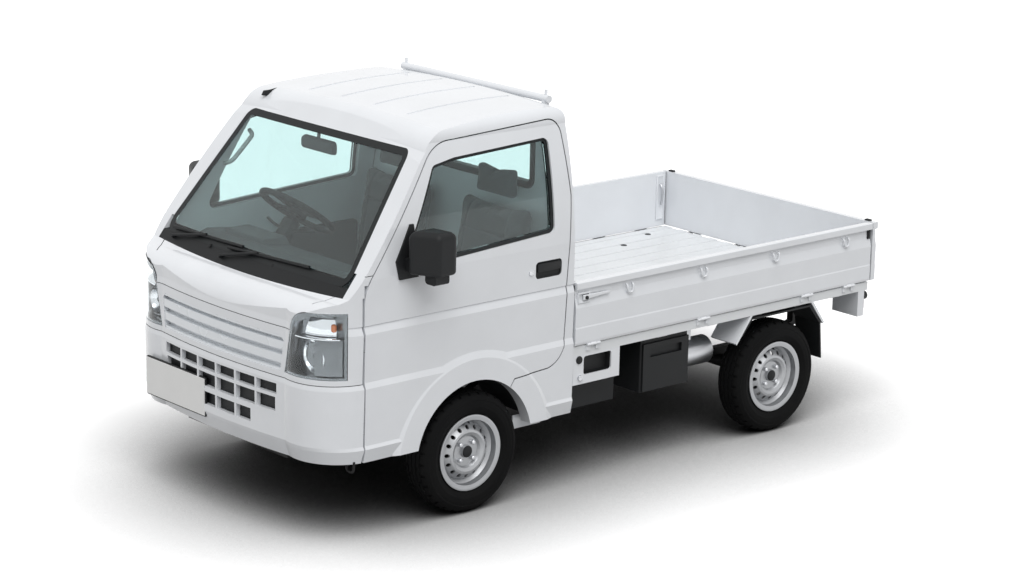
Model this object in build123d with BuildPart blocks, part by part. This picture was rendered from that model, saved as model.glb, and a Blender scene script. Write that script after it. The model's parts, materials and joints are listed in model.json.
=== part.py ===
from build123d import *
import math
import os

os.makedirs("parts", exist_ok=True)

# Driving sizes of the whole truck, in millimetres
LENGTH = 3395
WIDTH = 1475
HEIGHT = 1765
WHEELBASE = 1905
FRONT_OVERHANG = 834
TRACK_FRONT = 1305
TRACK_REAR = 1290
TYRE_RADIUS = 270
TYRE_WIDTH = 145
RIM_RADIUS = 152

# Driving sizes of the cab
CAB_LENGTH = 1405
SILL_Z = 346
STEP_Z = 412
BELT_Z = 692
WAIST_Z = 938
ROOF_Z = 1733
CORNER_RADIUS = 234
CORNER_TURN = 12.8
NOSE_BOW = 29.5
CROWN_RADIUS = 10000
SIDE_WALL = 52
ROOF_WALL = 36
BACK_WALL = 34
NOSE_WALL = 62
ARCH_RADIUS = 324
FLARE_RADIUS = 455
PLATFORM_Z = 640
PLATE = 25

# Driving sizes of the bed
FLOOR_Z = 652
GATE_TOP = 940
GATE_WALL = 28
HINGE_R = 6.5

# Clearances
DOOR_GAP = 6
BED_GAP = 10
SEAT_GAP = 0.3
SEAL = 15
SCREEN_BAND = 28
WINDOW_CORNER = 32
RUN_GAP = 0.05

# Places worked out from the driving sizes
front_x = LENGTH / 2
half_w = WIDTH / 2
axle_f = front_x - FRONT_OVERHANG
axle_r = axle_f - WHEELBASE
cab_back = front_x - CAB_LENGTH
bed_front = cab_back - BED_GAP
bed_rear = -front_x
arch_x = axle_f - 6
arch_z = TYRE_RADIUS + 6
waist_in = 12


def save(builder, name):
    """Labels the finished piece and writes its file."""
    builder.part.label = name
    export_step(builder.part, f"parts/{name}.step")


def side_plane(y):
    """Plane facing right whose sketch axes are X and Z, at one distance left of the middle."""
    return Plane.XZ.offset(-y)


def cross_plane(x):
    """Plane facing forward whose sketch axes are Y and Z."""
    return Plane.YZ.offset(x)


def block(x0, x1, y0, y1, z0, z1):
    """Plain box between two corners."""
    with BuildPart(Plane.XY.offset(z0)) as made:
        with BuildSketch(Plane.XY.offset(z0)):
            with BuildLine():
                Polyline((x0, y0), (x1, y0), (x1, y1), (x0, y1), close=True)
            make_face()
        extrude(amount=z1 - z0)
    return made.part


def prism_x(points, x0, x1):
    """Outline in Y and Z drawn out along X."""
    with BuildPart() as made:
        with BuildSketch(cross_plane(x0)):
            with BuildLine():
                Polyline(*points, close=True)
            make_face()
        extrude(amount=x1 - x0)
    return made.part


def prism_y(points, y0, y1):
    """Outline in X and Z drawn out along Y, from y0 up to y1."""
    with BuildPart() as made:
        with BuildSketch(side_plane(y1)):
            with BuildLine():
                Polyline(*points, close=True)
            make_face()
        extrude(amount=y1 - y0)
    return made.part


def prism_z(points, z0, z1):
    """Outline in X and Y drawn up along Z."""
    with BuildPart() as made:
        with BuildSketch(Plane.XY.offset(z0)):
            with BuildLine():
                Polyline(*points, close=True)
            make_face()
        extrude(amount=z1 - z0)
    return made.part


def rod(start, end, radius):
    """Round bar between two points."""
    run = Vector(*end) - Vector(*start)
    with BuildPart() as made:
        with BuildSketch(Plane(origin=start, z_dir=run)):
            Circle(radius)
        extrude(amount=run.length)
    return made.part


def turned_y(points, x, y, z, side):
    """Outline of radius and outboard offset turned about an axle along Y."""
    frame = Plane(origin=(x, y, z), x_dir=(1, 0, 0), z_dir=(0, 0, 1))
    with BuildPart() as made:
        with BuildSketch(frame):
            with BuildLine():
                Polyline(*[(radius, side * out) for radius, out in points], close=True)
            make_face()
        revolve(axis=Axis((x, y, z), (0, 1, 0)))
    return made.part


def mirrored(builder, name):
    """Right-hand copy of a left-hand piece, saved under its own name."""
    with BuildPart() as made:
        add(mirror(builder.part, about=Plane.XZ))
    save(made, name)
    return made


# Cab form: plan bands below the waist, then roof, screen and bonnet above it
bands = [
    (SILL_Z, 14, 26),
    (STEP_Z - 7, 1, 6),
    (STEP_Z + 8, 7, 2),
    (BELT_Z - 24, 3, 0),
    (BELT_Z + 2, 12, 4),
    (WAIST_Z - 36, 6, 8),
    (WAIST_Z - 3, waist_in + 5, waist_in),
    (WAIST_Z, waist_in, waist_in),
]


def plan_sketch(height, side, front, rear):
    """Closed plan outline of the cab at one height, drawn in by the given amounts."""
    nose = front_x - front
    centre_x = nose - CORNER_RADIUS - NOSE_BOW + 6 + side
    centre_y = half_w - CORNER_RADIUS
    radius = CORNER_RADIUS - side
    turn = math.radians(CORNER_TURN)
    meet_x = centre_x + radius * math.cos(turn)
    meet_y = centre_y - radius * math.sin(turn)
    back = cab_back + rear
    side_y = half_w - side
    sweep = 90 + CORNER_TURN
    with BuildSketch(Plane.XY.offset(height)) as made:
        with BuildLine():
            Line((centre_x, -side_y), (back, -side_y))
            Line((back, -side_y), (back, side_y))
            Line((back, side_y), (centre_x, side_y))
            CenterArc((centre_x, centre_y), radius, -CORNER_TURN, sweep)
            ThreePointArc((meet_x, meet_y), (nose, 0), (meet_x, -meet_y))
            CenterArc((centre_x, -centre_y), radius, -90, sweep)
        make_face()
    return made.sketch


def side_section(inset):
    """Cross-section above the waist, with the sides leaning in toward the roof."""
    waist_y = half_w - waist_in
    with BuildSketch(cross_plane(cab_back - 20)) as made:
        with BuildLine():
            Line((waist_y, WAIST_Z - 160), (waist_y, WAIST_Z))
            ThreePointArc((waist_y, WAIST_Z), (waist_y - 14, WAIST_Z + 362), (waist_y - 84, ROOF_Z - 88))
            ThreePointArc(
                (waist_y - 84, ROOF_Z - 88), (waist_y - 104, ROOF_Z - 33), (waist_y - 160, ROOF_Z - 11),
            )
            Line((waist_y - 160, ROOF_Z - 11), (0, ROOF_Z + 50))
            mirror(about=Plane.YZ)
            Line((waist_y, WAIST_Z - 160), (-waist_y, WAIST_Z - 160))
        make_face()
        if inset:
            offset(amount=-inset, kind=Kind.INTERSECTION, mode=Mode.REPLACE)
    return made.sketch


screen_foot = (front_x - 130.5, WAIST_Z + 100)
screen_run = 0.8146


def screen_volume(inset):
    """Everything behind the bowed windscreen face."""
    levels = [(WAIST_Z - 60, 40), (ROOF_Z + 60, 3)]
    with BuildPart() as made:
        for level, bow in levels:
            middle = screen_foot[0] - (level - screen_foot[1]) * screen_run - inset * 1.29
            with BuildSketch(Plane.XY.offset(level)):
                with BuildLine():
                    ThreePointArc((middle - bow, -820), (middle, 0), (middle - bow, 820))
                    Polyline(
                        (middle - bow, 820), (cab_back - 60, 820),
                        (cab_back - 60, -820), (middle - bow, -820),
                    )
                make_face()
        loft(ruled=True)
    return made.part


def roof_volume(top, rear):
    """Everything under the crowned roof, turned about a far axis for the crown."""
    pivot = ROOF_Z - CROWN_RADIUS
    swing = 4.8
    tilted = Plane(Pos(0, 0, pivot) * Rot(X=-swing) * Pos(0, 0, -pivot) * Plane.XZ.location)
    back = cab_back + rear
    peak = ROOF_Z - top
    with BuildPart() as made:
        with BuildSketch(tilted):
            with BuildLine():
                Polyline((back, WAIST_Z - 60), (back, peak - 40))
                ThreePointArc((back, peak - 40), (back + 11, peak - 13), (back + 38, peak - 2))
                ThreePointArc((back + 38, peak - 2), (back + 330, peak), (axle_f + 122 - top, peak - 24))
                ThreePointArc(
                    (axle_f + 122 - top, peak - 24),
                    (axle_f + 182 - top, peak - 53),
                    (axle_f + 222.5 - top, peak - 101),
                )
                Polyline(
                    (axle_f + 222.5 - top, peak - 101),
                    (front_x + 70, WAIST_Z + 20),
                    (front_x + 70, WAIST_Z - 60),
                    (back, WAIST_Z - 60),
                )
            make_face()
        revolve(axis=Axis((0, 0, pivot), (1, 0, 0)), revolution_arc=2 * swing)
    return made.part


def bonnet_volume(inset, low=WAIST_Z - 60):
    """Everything under the short bonnet, from the nose to below the screen's foot."""
    nose = front_x - waist_in - inset
    top = WAIST_Z - inset
    with BuildPart() as made:
        with BuildSketch(side_plane(half_w + 40)):
            with BuildLine():
                ThreePointArc((nose, top), (nose - 31, top + 54), (nose - 118.5, top + 100))
                Polyline(
                    (nose - 118.5, top + 100),
                    (nose - 245, top + 160),
                    (axle_f + 60, top + 160),
                    (axle_f + 60, low),
                    (nose, low),
                    (nose, top),
                )
            make_face()
        extrude(amount=2 * half_w + 80)
    return made.part


def upper_volume(side, top, front, rear, low):
    """Cab above the waist: screen and roof joined to the bonnet, within side and plan outlines."""
    with BuildPart() as made:
        add(roof_volume(top, rear))
        add(screen_volume(front), mode=Mode.INTERSECT)
        add(bonnet_volume(front))
        extrude(side_section(side), amount=CAB_LENGTH + 60, mode=Mode.INTERSECT)
        extrude(plan_sketch(low, waist_in + side, waist_in + front, rear), amount=ROOF_Z, mode=Mode.INTERSECT)
    return made.part


with BuildPart() as cab_outer:
    loft([plan_sketch(level, side, front, 0) for level, side, front in bands], ruled=True)
    add(upper_volume(0, 0, 0, 0, WAIST_Z))
    for hand in (1, -1):
        low_y = half_w - 12
        with BuildSketch(side_plane(hand * low_y)):
            with Locations((arch_x, arch_z)):
                Circle(FLARE_RADIUS)
        with BuildSketch(side_plane(hand * half_w)):
            with Locations((arch_x, arch_z)):
                Circle(FLARE_RADIUS - 34)
        loft(ruled=True)
    add(block(cab_back - 10, front_x + 10, -WIDTH, WIDTH, -HEIGHT, SILL_Z), mode=Mode.SUBTRACT)

with BuildPart() as cab_inner:
    extrude(
        plan_sketch(SILL_Z - 20, waist_in + SIDE_WALL, waist_in + NOSE_WALL, BACK_WALL),
        amount=WAIST_Z - SILL_Z + 20,
    )
    add(upper_volume(SIDE_WALL, ROOF_WALL, NOSE_WALL * 0.6, BACK_WALL, WAIST_Z - 50))

with BuildPart() as cab_shell:
    add(cab_outer.part)
    add(cab_inner.part, mode=Mode.SUBTRACT)
    with BuildSketch(side_plane(half_w + 30)):
        with Locations((arch_x, arch_z)):
            Circle(ARCH_RADIUS)
    extrude(amount=2 * half_w + 60, mode=Mode.SUBTRACT)


# Door outline seen from the side, as offsets from the front axle
door_front = axle_f + 594
door_rear = cab_back + 16


def door_sketch(grow):
    """Side outline of a door, grown by its gap for the opening in the body."""
    with BuildSketch(side_plane(half_w + 30)) as made:
        with BuildLine():
            Line((door_front, SILL_Z - 40), (door_front, WAIST_Z + 84))
            ThreePointArc(
                (door_front, WAIST_Z + 84), (door_front - 9, WAIST_Z + 142), (door_front - 37, WAIST_Z + 196)
            )
            Line((door_front - 37, WAIST_Z + 196), (door_front - 368, ROOF_Z - 160))
            ThreePointArc(
                (door_front - 368, ROOF_Z - 160),
                (door_front - 428, ROOF_Z - 108),
                (door_front - 520, ROOF_Z - 88),
            )
            Line((door_front - 520, ROOF_Z - 88), (door_rear + 90, ROOF_Z - 64))
            ThreePointArc(
                (door_rear + 90, ROOF_Z - 64), (door_rear + 40, ROOF_Z - 84), (door_rear + 20, ROOF_Z - 130),
            )
            Polyline(
                (door_rear + 20, ROOF_Z - 130),
                (door_rear, WAIST_Z + 400),
                (door_rear + 30, WAIST_Z),
                (door_rear + 38, BELT_Z),
            )
            ThreePointArc(
                (door_rear + 38, BELT_Z), (door_rear + 66, BELT_Z - 67), (door_rear + 134, BELT_Z - 108),
            )
            Polyline(
                (door_rear + 134, BELT_Z - 108),
                (axle_f - 224, BELT_Z - 121),
                (axle_f - 190, BELT_Z - 170),
                (axle_f - 60, SILL_Z - 40),
                (door_front, SILL_Z - 40),
            )
        make_face()
        if grow:
            offset(amount=grow, kind=Kind.INTERSECTION, mode=Mode.REPLACE)
    return made.sketch


def window_sketch(shrink):
    """Side outline of a door window."""
    with BuildSketch(side_plane(half_w + 30)) as made:
        with BuildLine():
            FilletPolyline(
                (door_front - 186, WAIST_Z + 199),
                (door_front - 400, ROOF_Z - 178),
                (door_front - 520, ROOF_Z - 158),
                (door_rear + 96, ROOF_Z - 134),
                (door_rear + 100, WAIST_Z + 250),
                radius=WINDOW_CORNER,
                close=True,
            )
        make_face()
        if shrink:
            offset(amount=-shrink, kind=Kind.INTERSECTION, mode=Mode.REPLACE)
    return made.sketch


# Panel regions of the cab shell
roof_half = half_w - 192
back_half = half_w - 150
header_z = ROOF_Z - 133
pillar_z = WAIST_Z + 212
split_x = door_front - 62
hinge_x = door_front - 10
hinge_y = half_w - 19.5
hinge_levels = [STEP_Z + 58, WAIST_Z - 112]
HINGE_LENGTH = 60
HINGE_PIN = 6

screen_half_top = 565
screen_half_low = 652
screen_top = ROOF_Z - 121
screen_low = WAIST_Z + 154


def screen_sketch(shrink):
    """Front outline of the windscreen glass."""
    with BuildSketch(cross_plane(axle_f + 100)) as made:
        with BuildLine():
            Polyline(
                (screen_half_low - 8, screen_low),
                (screen_half_low, screen_low + 60),
                (screen_half_top, screen_top),
                (-screen_half_top, screen_top),
                (-screen_half_low, screen_low + 60),
                (-screen_half_low + 8, screen_low),
                close=True,
            )
        make_face()
        fillet(made.vertices().group_by(Axis.Z)[-1], 45)
        if shrink:
            offset(amount=-shrink, kind=Kind.INTERSECTION, mode=Mode.REPLACE)
    return made.sketch


lamp_back = door_front + 75


def lamp_volume(shrink):
    """Space of the left headlamp, bounded in front view and by a plane behind."""
    with BuildPart() as made:
        with BuildSketch(cross_plane(lamp_back + shrink)):
            with BuildLine():
                Line((half_w + 20, BELT_Z + 22), (half_w - 290, BELT_Z + 22))
                Line((half_w - 290, BELT_Z + 22), (half_w - 250, WAIST_Z - 33))
                ThreePointArc(
                    (half_w - 250, WAIST_Z - 33), (half_w - 228, WAIST_Z + 28), (half_w - 162, WAIST_Z + 60),
                )
                Polyline(
                    (half_w - 162, WAIST_Z + 60), (half_w + 20, WAIST_Z + 64), (half_w + 20, BELT_Z + 22),
                )
            make_face()
            if shrink:
                offset(amount=-shrink, kind=Kind.INTERSECTION, mode=Mode.REPLACE)
        extrude(amount=400)
    return made.part


grille_half = half_w - 294
grille_low = BELT_Z + 24
grille_top = WAIST_Z - 68


def grille_volume(shrink):
    """Space of the grille between the headlamps."""
    with BuildPart() as made:
        with BuildSketch(cross_plane(front_x - 70)):
            with BuildLine():
                Polyline(
                    (grille_half - 20, grille_low),
                    (grille_half - 2, grille_top - 20),
                    (grille_half - 24, grille_top),
                    (24 - grille_half, grille_top),
                    (2 - grille_half, grille_top - 20),
                    (20 - grille_half, grille_low),
                    close=True,
                )
            make_face()
            if shrink:
                offset(amount=-shrink, kind=Kind.INTERSECTION, mode=Mode.REPLACE)
        extrude(amount=100)
    return made.part


# Roof panel with the header over the windscreen and shallow lengthwise beads
bead_places = [-345, -115, 115, 345]
with BuildPart() as roof_beads:
    for place in bead_places:
        add(block(cab_back + 70, axle_f + 70, place - 9, place + 9, ROOF_Z - 90, ROOF_Z + 20))
    add(roof_volume(2.5, -10), mode=Mode.SUBTRACT)
with BuildPart() as cab_roof:
    add(cab_shell.part)
    add(block(cab_back - 5, front_x, -roof_half, roof_half, header_z, ROOF_Z + 20), mode=Mode.INTERSECT)
    extrude(screen_sketch(0), amount=700, mode=Mode.SUBTRACT)
    add(roof_beads.part, mode=Mode.SUBTRACT)
save(cab_roof, "cab_roof")

# Back wall with its window opening
WINDOW_HALF = 470
window_low = WAIST_Z + 400
window_high = ROOF_Z - 165
with BuildPart() as cab_back_wall:
    add(cab_shell.part)
    add(
        block(cab_back - 5, cab_back + BACK_WALL, -back_half, back_half, PLATFORM_Z - PLATE, header_z),
        mode=Mode.INTERSECT,
    )
    with BuildSketch(cross_plane(cab_back - 5)):
        with Locations((0, (window_low + window_high) / 2)):
            RectangleRounded(2 * WINDOW_HALF, window_high - window_low, 45)
    extrude(amount=BACK_WALL + 10, mode=Mode.SUBTRACT)
save(cab_back_wall, "cab_back_wall")

with BuildPart() as rear_window:
    with BuildSketch(cross_plane(cab_back + 8)):
        with Locations((0, (window_low + window_high) / 2)):
            RectangleRounded(2 * WINDOW_HALF - 2 * SEAT_GAP, window_high - window_low - 2 * SEAT_GAP, 44)
    extrude(amount=5)
save(rear_window, "rear_window")

# Side frame round the door: pillars, roof rail and rear quarter
with BuildPart() as cab_side_left:
    add(cab_shell.part)
    add(block(cab_back - 5, front_x, 0, half_w + 10, SILL_Z, ROOF_Z + 20), mode=Mode.INTERSECT)
    add(block(cab_back - 5, front_x, -10, roof_half, header_z, ROOF_Z + 30), mode=Mode.SUBTRACT)
    add(block(cab_back - 5, cab_back + BACK_WALL, -10, back_half, SILL_Z - 5, header_z), mode=Mode.SUBTRACT)
    add(block(split_x, front_x + 5, -10, half_w + 20, SILL_Z - 5, pillar_z), mode=Mode.SUBTRACT)
    extrude(door_sketch(DOOR_GAP), amount=half_w - 100, mode=Mode.SUBTRACT)
    extrude(screen_sketch(0), amount=700, mode=Mode.SUBTRACT)
save(cab_side_left, "cab_side_left")
mirrored(cab_side_left, "cab_side_right")

# Space inside the side walls, which no door reaches into
with BuildPart() as cabin_core:
    extrude(side_section(SIDE_WALL), amount=CAB_LENGTH + 60)
    add(block(cab_back - 20, front_x, SIDE_WALL + waist_in - half_w, half_w - waist_in - SIDE_WALL,
              0, WAIST_Z))

# Door, as thick as the wall, with its window opening, handle pocket and hinge bores
HANDLE_LENGTH = 152
HANDLE_HEIGHT = 76
handle_x = door_rear + 134
handle_z = WAIST_Z + 92
with BuildPart() as door_left:
    add(cab_shell.part)
    extrude(door_sketch(0), amount=half_w - 450, mode=Mode.INTERSECT)
    add(cabin_core.part, mode=Mode.SUBTRACT)
    extrude(window_sketch(0), amount=half_w - 450, mode=Mode.SUBTRACT)
    for level in hinge_levels:
        with BuildSketch(Plane.XY.offset(level - 1)):
            with Locations((hinge_x, hinge_y)):
                Circle(HINGE_PIN + RUN_GAP)
        extrude(amount=HINGE_LENGTH + 2, mode=Mode.SUBTRACT)
        for base in (level - 1, level + HINGE_LENGTH - 11):
            notch = [
                (hinge_x - 12, hinge_y + 4),
                (hinge_x - 22, hinge_y - 80),
                (hinge_x + 30, hinge_y - 80),
                (hinge_x + 30, hinge_y + 8.5),
                (hinge_x - 6, hinge_y + 8.5),
            ]
            add(prism_z(notch, base, base + 12), mode=Mode.SUBTRACT)
    with BuildSketch(side_plane(half_w + 10)):
        with Locations((handle_x, handle_z)):
            RectangleRounded(HANDLE_LENGTH, HANDLE_HEIGHT, 18)
    extrude(amount=waist_in + 27, mode=Mode.SUBTRACT)
save(door_left, "door_left")
door_right = mirrored(door_left, "door_right")

# Door glass, a layer just behind the door's outer face, in its rubber seal
with BuildPart() as door_glass_left:
    extrude(side_section(20), amount=CAB_LENGTH)
    extrude(side_section(25), amount=CAB_LENGTH, mode=Mode.SUBTRACT)
    extrude(window_sketch(SEAL + SEAT_GAP), amount=half_w - 450, mode=Mode.INTERSECT)
save(door_glass_left, "door_glass_left")
mirrored(door_glass_left, "door_glass_right")

with BuildPart() as door_seal_left:
    extrude(side_section(9), amount=CAB_LENGTH)
    extrude(side_section(32), amount=CAB_LENGTH, mode=Mode.SUBTRACT)
    extrude(window_sketch(SEAT_GAP), amount=half_w - 450, mode=Mode.INTERSECT)
    extrude(window_sketch(SEAL), amount=half_w - 450, mode=Mode.SUBTRACT)
save(door_seal_left, "door_seal_left")
mirrored(door_seal_left, "door_seal_right")

# Windscreen in its black band
with BuildPart() as windscreen:
    add(screen_volume(2))
    add(screen_volume(8), mode=Mode.SUBTRACT)
    extrude(screen_sketch(SCREEN_BAND + SEAT_GAP), amount=700, mode=Mode.INTERSECT)
save(windscreen, "windscreen")

with BuildPart() as screen_band:
    add(screen_volume(1))
    add(screen_volume(9), mode=Mode.SUBTRACT)
    extrude(screen_sketch(SEAT_GAP), amount=700, mode=Mode.INTERSECT)
    extrude(screen_sketch(SCREEN_BAND), amount=700, mode=Mode.SUBTRACT)
save(screen_band, "screen_band")

# Space swept by the door's front edge round its hinge, cut from the body beside it
with BuildPart() as hinge_relief:
    for hand in (1, -1):
        add(rod((hinge_x, hand * hinge_y, SILL_Z - 5), (hinge_x, hand * hinge_y, WAIST_Z + 120), 22))
        add(rod((hinge_x, hand * hinge_y, WAIST_Z + 110), (hinge_x, hand * hinge_y, WAIST_Z + 172), 14))

# Black cowl wedge under the windscreen
cowl_half = half_w - 69.5
with BuildPart() as cowl:
    add(screen_volume(1))
    add(roof_volume(0, 0), mode=Mode.INTERSECT)
    add(screen_volume(NOSE_WALL * 0.6), mode=Mode.SUBTRACT)
    add(bonnet_volume(0), mode=Mode.SUBTRACT)
    add(block(split_x, front_x, -cowl_half, cowl_half, WAIST_Z, screen_low), mode=Mode.INTERSECT)
save(cowl, "cowl")

# Spaces shared by the front pieces
with BuildPart() as door_space:
    extrude(door_sketch(DOOR_GAP), amount=half_w - 450)
    mirror(about=Plane.XZ)

with BuildPart() as cowl_space:
    add(screen_volume(-20))
    add(bonnet_volume(0), mode=Mode.SUBTRACT)
    add(block(split_x, front_x, -cowl_half, cowl_half, WAIST_Z, pillar_z + 40), mode=Mode.INTERSECT)



def seam_ring(low, high, side, front):
    """Band outside the cab's plan at one height, which cuts a seam of the given depth."""
    with BuildPart() as made:
        extrude(plan_sketch(low, -8, -8, 0), amount=high - low)
        extrude(plan_sketch(low, side, front, -5), amount=high - low, mode=Mode.SUBTRACT)
    return made.part


# Seams round the front lid: one above the grille and one from each lamp up to the cowl
SEAM = 4
lid_z = WAIST_Z - 34
lid_line = [
    (front_x - 205, half_w - 94), (front_x - 90, half_w - 172),
    (front_x - 87, half_w - 168), (front_x - 202, half_w - 90),
]
with BuildPart() as lid_seams:
    add(bonnet_volume(-6))
    add(bonnet_volume(7), mode=Mode.SUBTRACT)
    add(prism_z(lid_line, WAIST_Z + 40, WAIST_Z + 130), mode=Mode.INTERSECT)
    mirror(about=Plane.XZ)
with BuildPart() as lid_bottom:
    add(seam_ring(lid_z, lid_z + SEAM, 16, 15))
    add(block(front_x - 200, front_x + 20, 240 - half_w, half_w - 240, lid_z - 1, lid_z + SEAM + 1),
        mode=Mode.INTERSECT)
with BuildPart() as pillar_seam:
    add(block(split_x, door_front, half_w - 170, half_w, pillar_z - SEAM, pillar_z + 1))
    extrude(side_section(7), amount=CAB_LENGTH + 60, mode=Mode.SUBTRACT)
    mirror(about=Plane.XZ)

# Front panel from bumper to cowl, with hinge posts, lugs and pins for the doors
FOOT_Z = 420
post_x = (hinge_x + 20, hinge_x + 47)
post_y = (half_w - 125.5, half_w - 82.5)
with BuildPart() as front_panel:
    add(cab_shell.part)
    add(block(split_x, front_x + 5, -half_w - 5, half_w + 5, BELT_Z, pillar_z), mode=Mode.INTERSECT)
    add(hinge_relief.part, mode=Mode.SUBTRACT)
    add(door_space.part, mode=Mode.SUBTRACT)
    add(cowl_space.part, mode=Mode.SUBTRACT)
    extrude(screen_sketch(0), amount=700, mode=Mode.SUBTRACT)
    add(lamp_volume(0), mode=Mode.SUBTRACT)
    add(mirror(lamp_volume(0), about=Plane.XZ), mode=Mode.SUBTRACT)
    add(grille_volume(0), mode=Mode.SUBTRACT)
    for seam in (lid_seams, lid_bottom, pillar_seam):
        add(seam.part, mode=Mode.SUBTRACT)
    for hand in (1, -1):
        near, far = sorted((hand * post_y[0], hand * post_y[1]))
        add(block(post_x[0], post_x[1], near, far, FOOT_Z, WAIST_Z + 100))
        near, far = sorted((hand * post_y[0], hand * (half_w - 48)))
        add(block(post_x[0], post_x[1], near, far, BELT_Z + 10, WAIST_Z + 60))
        for level in hinge_levels:
            pin_y = hand * hinge_y
            add(rod((hinge_x, pin_y, level), (hinge_x, pin_y, level + HINGE_LENGTH), HINGE_PIN))
            for base in (level, level + HINGE_LENGTH - 10):
                near, far = sorted((hand * (post_y[0] + 28), hand * (post_y[1] + 7)))
                add(block(hinge_x - 7, post_x[0] + 15, near, far, base, base + 10))
                near, far = sorted((hand * post_y[1], pin_y))
                add(block(hinge_x - 7, hinge_x + 7, near, far, base, base + 10))
                add(rod((hinge_x, pin_y, base), (hinge_x, pin_y, base + 10), 8))
save(front_panel, "front_panel")

# Bumper with its rows of intake openings
CELL_PITCH = 137
CELL_BAR = 12
intake_rows = [
    (BELT_Z - 83, BELT_Z - 36, 3 * CELL_PITCH),
    (BELT_Z - 158, BELT_Z - 97, 3 * CELL_PITCH - 14),
    (BELT_Z - 240, BELT_Z - 182, 240),
]
SLIT_COUNT = 4
with BuildPart() as slits:
    for index in range(SLIT_COUNT):
        low = STEP_Z + 8 + 22 * index
        add(seam_ring(low, low + 8, 20, 20))
    add(block(axle_f + 705, front_x, -half_w - 20, 62 - half_w, STEP_Z, BELT_Z), mode=Mode.INTERSECT)
with BuildPart() as front_bumper:
    add(cab_shell.part)
    add(block(split_x, front_x + 5, -half_w - 5, half_w + 5, SILL_Z, BELT_Z), mode=Mode.INTERSECT)
    add(hinge_relief.part, mode=Mode.SUBTRACT)
    add(door_space.part, mode=Mode.SUBTRACT)
    for low, high, half in intake_rows:
        for index in range(-3, 3):
            near = max(index * CELL_PITCH + CELL_BAR / 2, -half)
            far = min((index + 1) * CELL_PITCH - CELL_BAR / 2, half)
            if far - near > 20:
                add(block(front_x - 160, front_x + 20, near, far, low, high), mode=Mode.SUBTRACT)
    add(seam_ring(BELT_Z - SEAM, BELT_Z + 1, 19, 11), mode=Mode.SUBTRACT)
    add(slits.part, mode=Mode.SUBTRACT)
save(front_bumper, "front_bumper")

# Headlamps: a clear lens that follows the corner, over an open housing
LENS = 4


def lamp_layer(near, far):
    """Layer of the left lamp's corner between two depths behind the skin."""
    with BuildPart() as made:
        extrude(plan_sketch(BELT_Z, near + 1, near, 0), amount=WAIST_Z + 100 - BELT_Z)
        extrude(plan_sketch(BELT_Z, far + 1, far, -5), amount=WAIST_Z + 100 - BELT_Z, mode=Mode.SUBTRACT)
    return made.part


with BuildPart() as headlamps:
    add(lamp_layer(8, 8 + LENS))
    add(bonnet_volume(0, BELT_Z), mode=Mode.INTERSECT)
    add(lamp_volume(SEAT_GAP), mode=Mode.INTERSECT)
    mirror(about=Plane.XZ)
save(headlamps, "headlamps")

with BuildPart() as lamp_bowl:
    add(lamp_layer(8 + LENS, 74))
    add(bonnet_volume(12, BELT_Z), mode=Mode.INTERSECT)
    add(lamp_volume(11), mode=Mode.INTERSECT)
with BuildPart() as lamp_housings:
    add(lamp_layer(8 + LENS + SEAT_GAP, 86))
    add(bonnet_volume(1, BELT_Z), mode=Mode.INTERSECT)
    add(lamp_volume(SEAT_GAP), mode=Mode.INTERSECT)
    add(lamp_bowl.part, mode=Mode.SUBTRACT)
    mirror(about=Plane.XZ)
save(lamp_housings, "lamp_housings")


def nose_layer(low, high, near, far):
    """Band of the nose between two depths behind its front face."""
    with BuildPart() as made:
        extrude(plan_sketch(low, near, near, 0), amount=high - low)
        extrude(plan_sketch(low, far, far, -5), amount=high - low, mode=Mode.SUBTRACT)
    return made.part


# Grille: a back plate with a rim and two louvres that follow the bowed nose
grille_height = grille_top - grille_low
louvres = [(0, 10), (0.22 * grille_height, 0.45 * grille_height), (0.6 * grille_height, 0.83 * grille_height),
           (grille_height - 10, grille_height)]
with BuildPart() as grille:
    add(nose_layer(grille_low, grille_top, 34, 46))
    for low, high in louvres:
        add(nose_layer(grille_low + low, grille_low + high, 8, 36))
    add(grille_volume(SEAT_GAP), mode=Mode.INTERSECT)
save(grille, "grille")

# Blank plate on two bosses
PLATE_WIDTH = 440
PLATE_HEIGHT = 165
plate_y = -307
plate_z = BELT_Z - 212
with BuildPart() as number_plate:
    add(block(front_x - 4, front_x, plate_y - PLATE_WIDTH / 2, plate_y + PLATE_WIDTH / 2,
              plate_z - PLATE_HEIGHT / 2, plate_z + PLATE_HEIGHT / 2))
    for reach in (-105, 105):
        bolt_y = plate_y + reach
        add(rod((front_x - 60, bolt_y, plate_z + 60), (front_x - 2, bolt_y, plate_z + 60), 8))
    add(front_bumper.part, mode=Mode.SUBTRACT)
save(number_plate, "number_plate")

# Cab floor: footwell, riser in front of the wheels and platform under the seats
riser_x = axle_f + 345
floor_side = waist_in + SIDE_WALL + DOOR_GAP
inner_back = cab_back + BACK_WALL
KING_Y = 575
KING_TILT = 12
king_run = math.tan(math.radians(KING_TILT))
strut_top = PLATFORM_Z - PLATE - 22


def king_point(z, hand):
    """Point on the steering axis of one front wheel at a height."""
    return (axle_f, hand * (KING_Y - (z - TYRE_RADIUS) * king_run), z)


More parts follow.
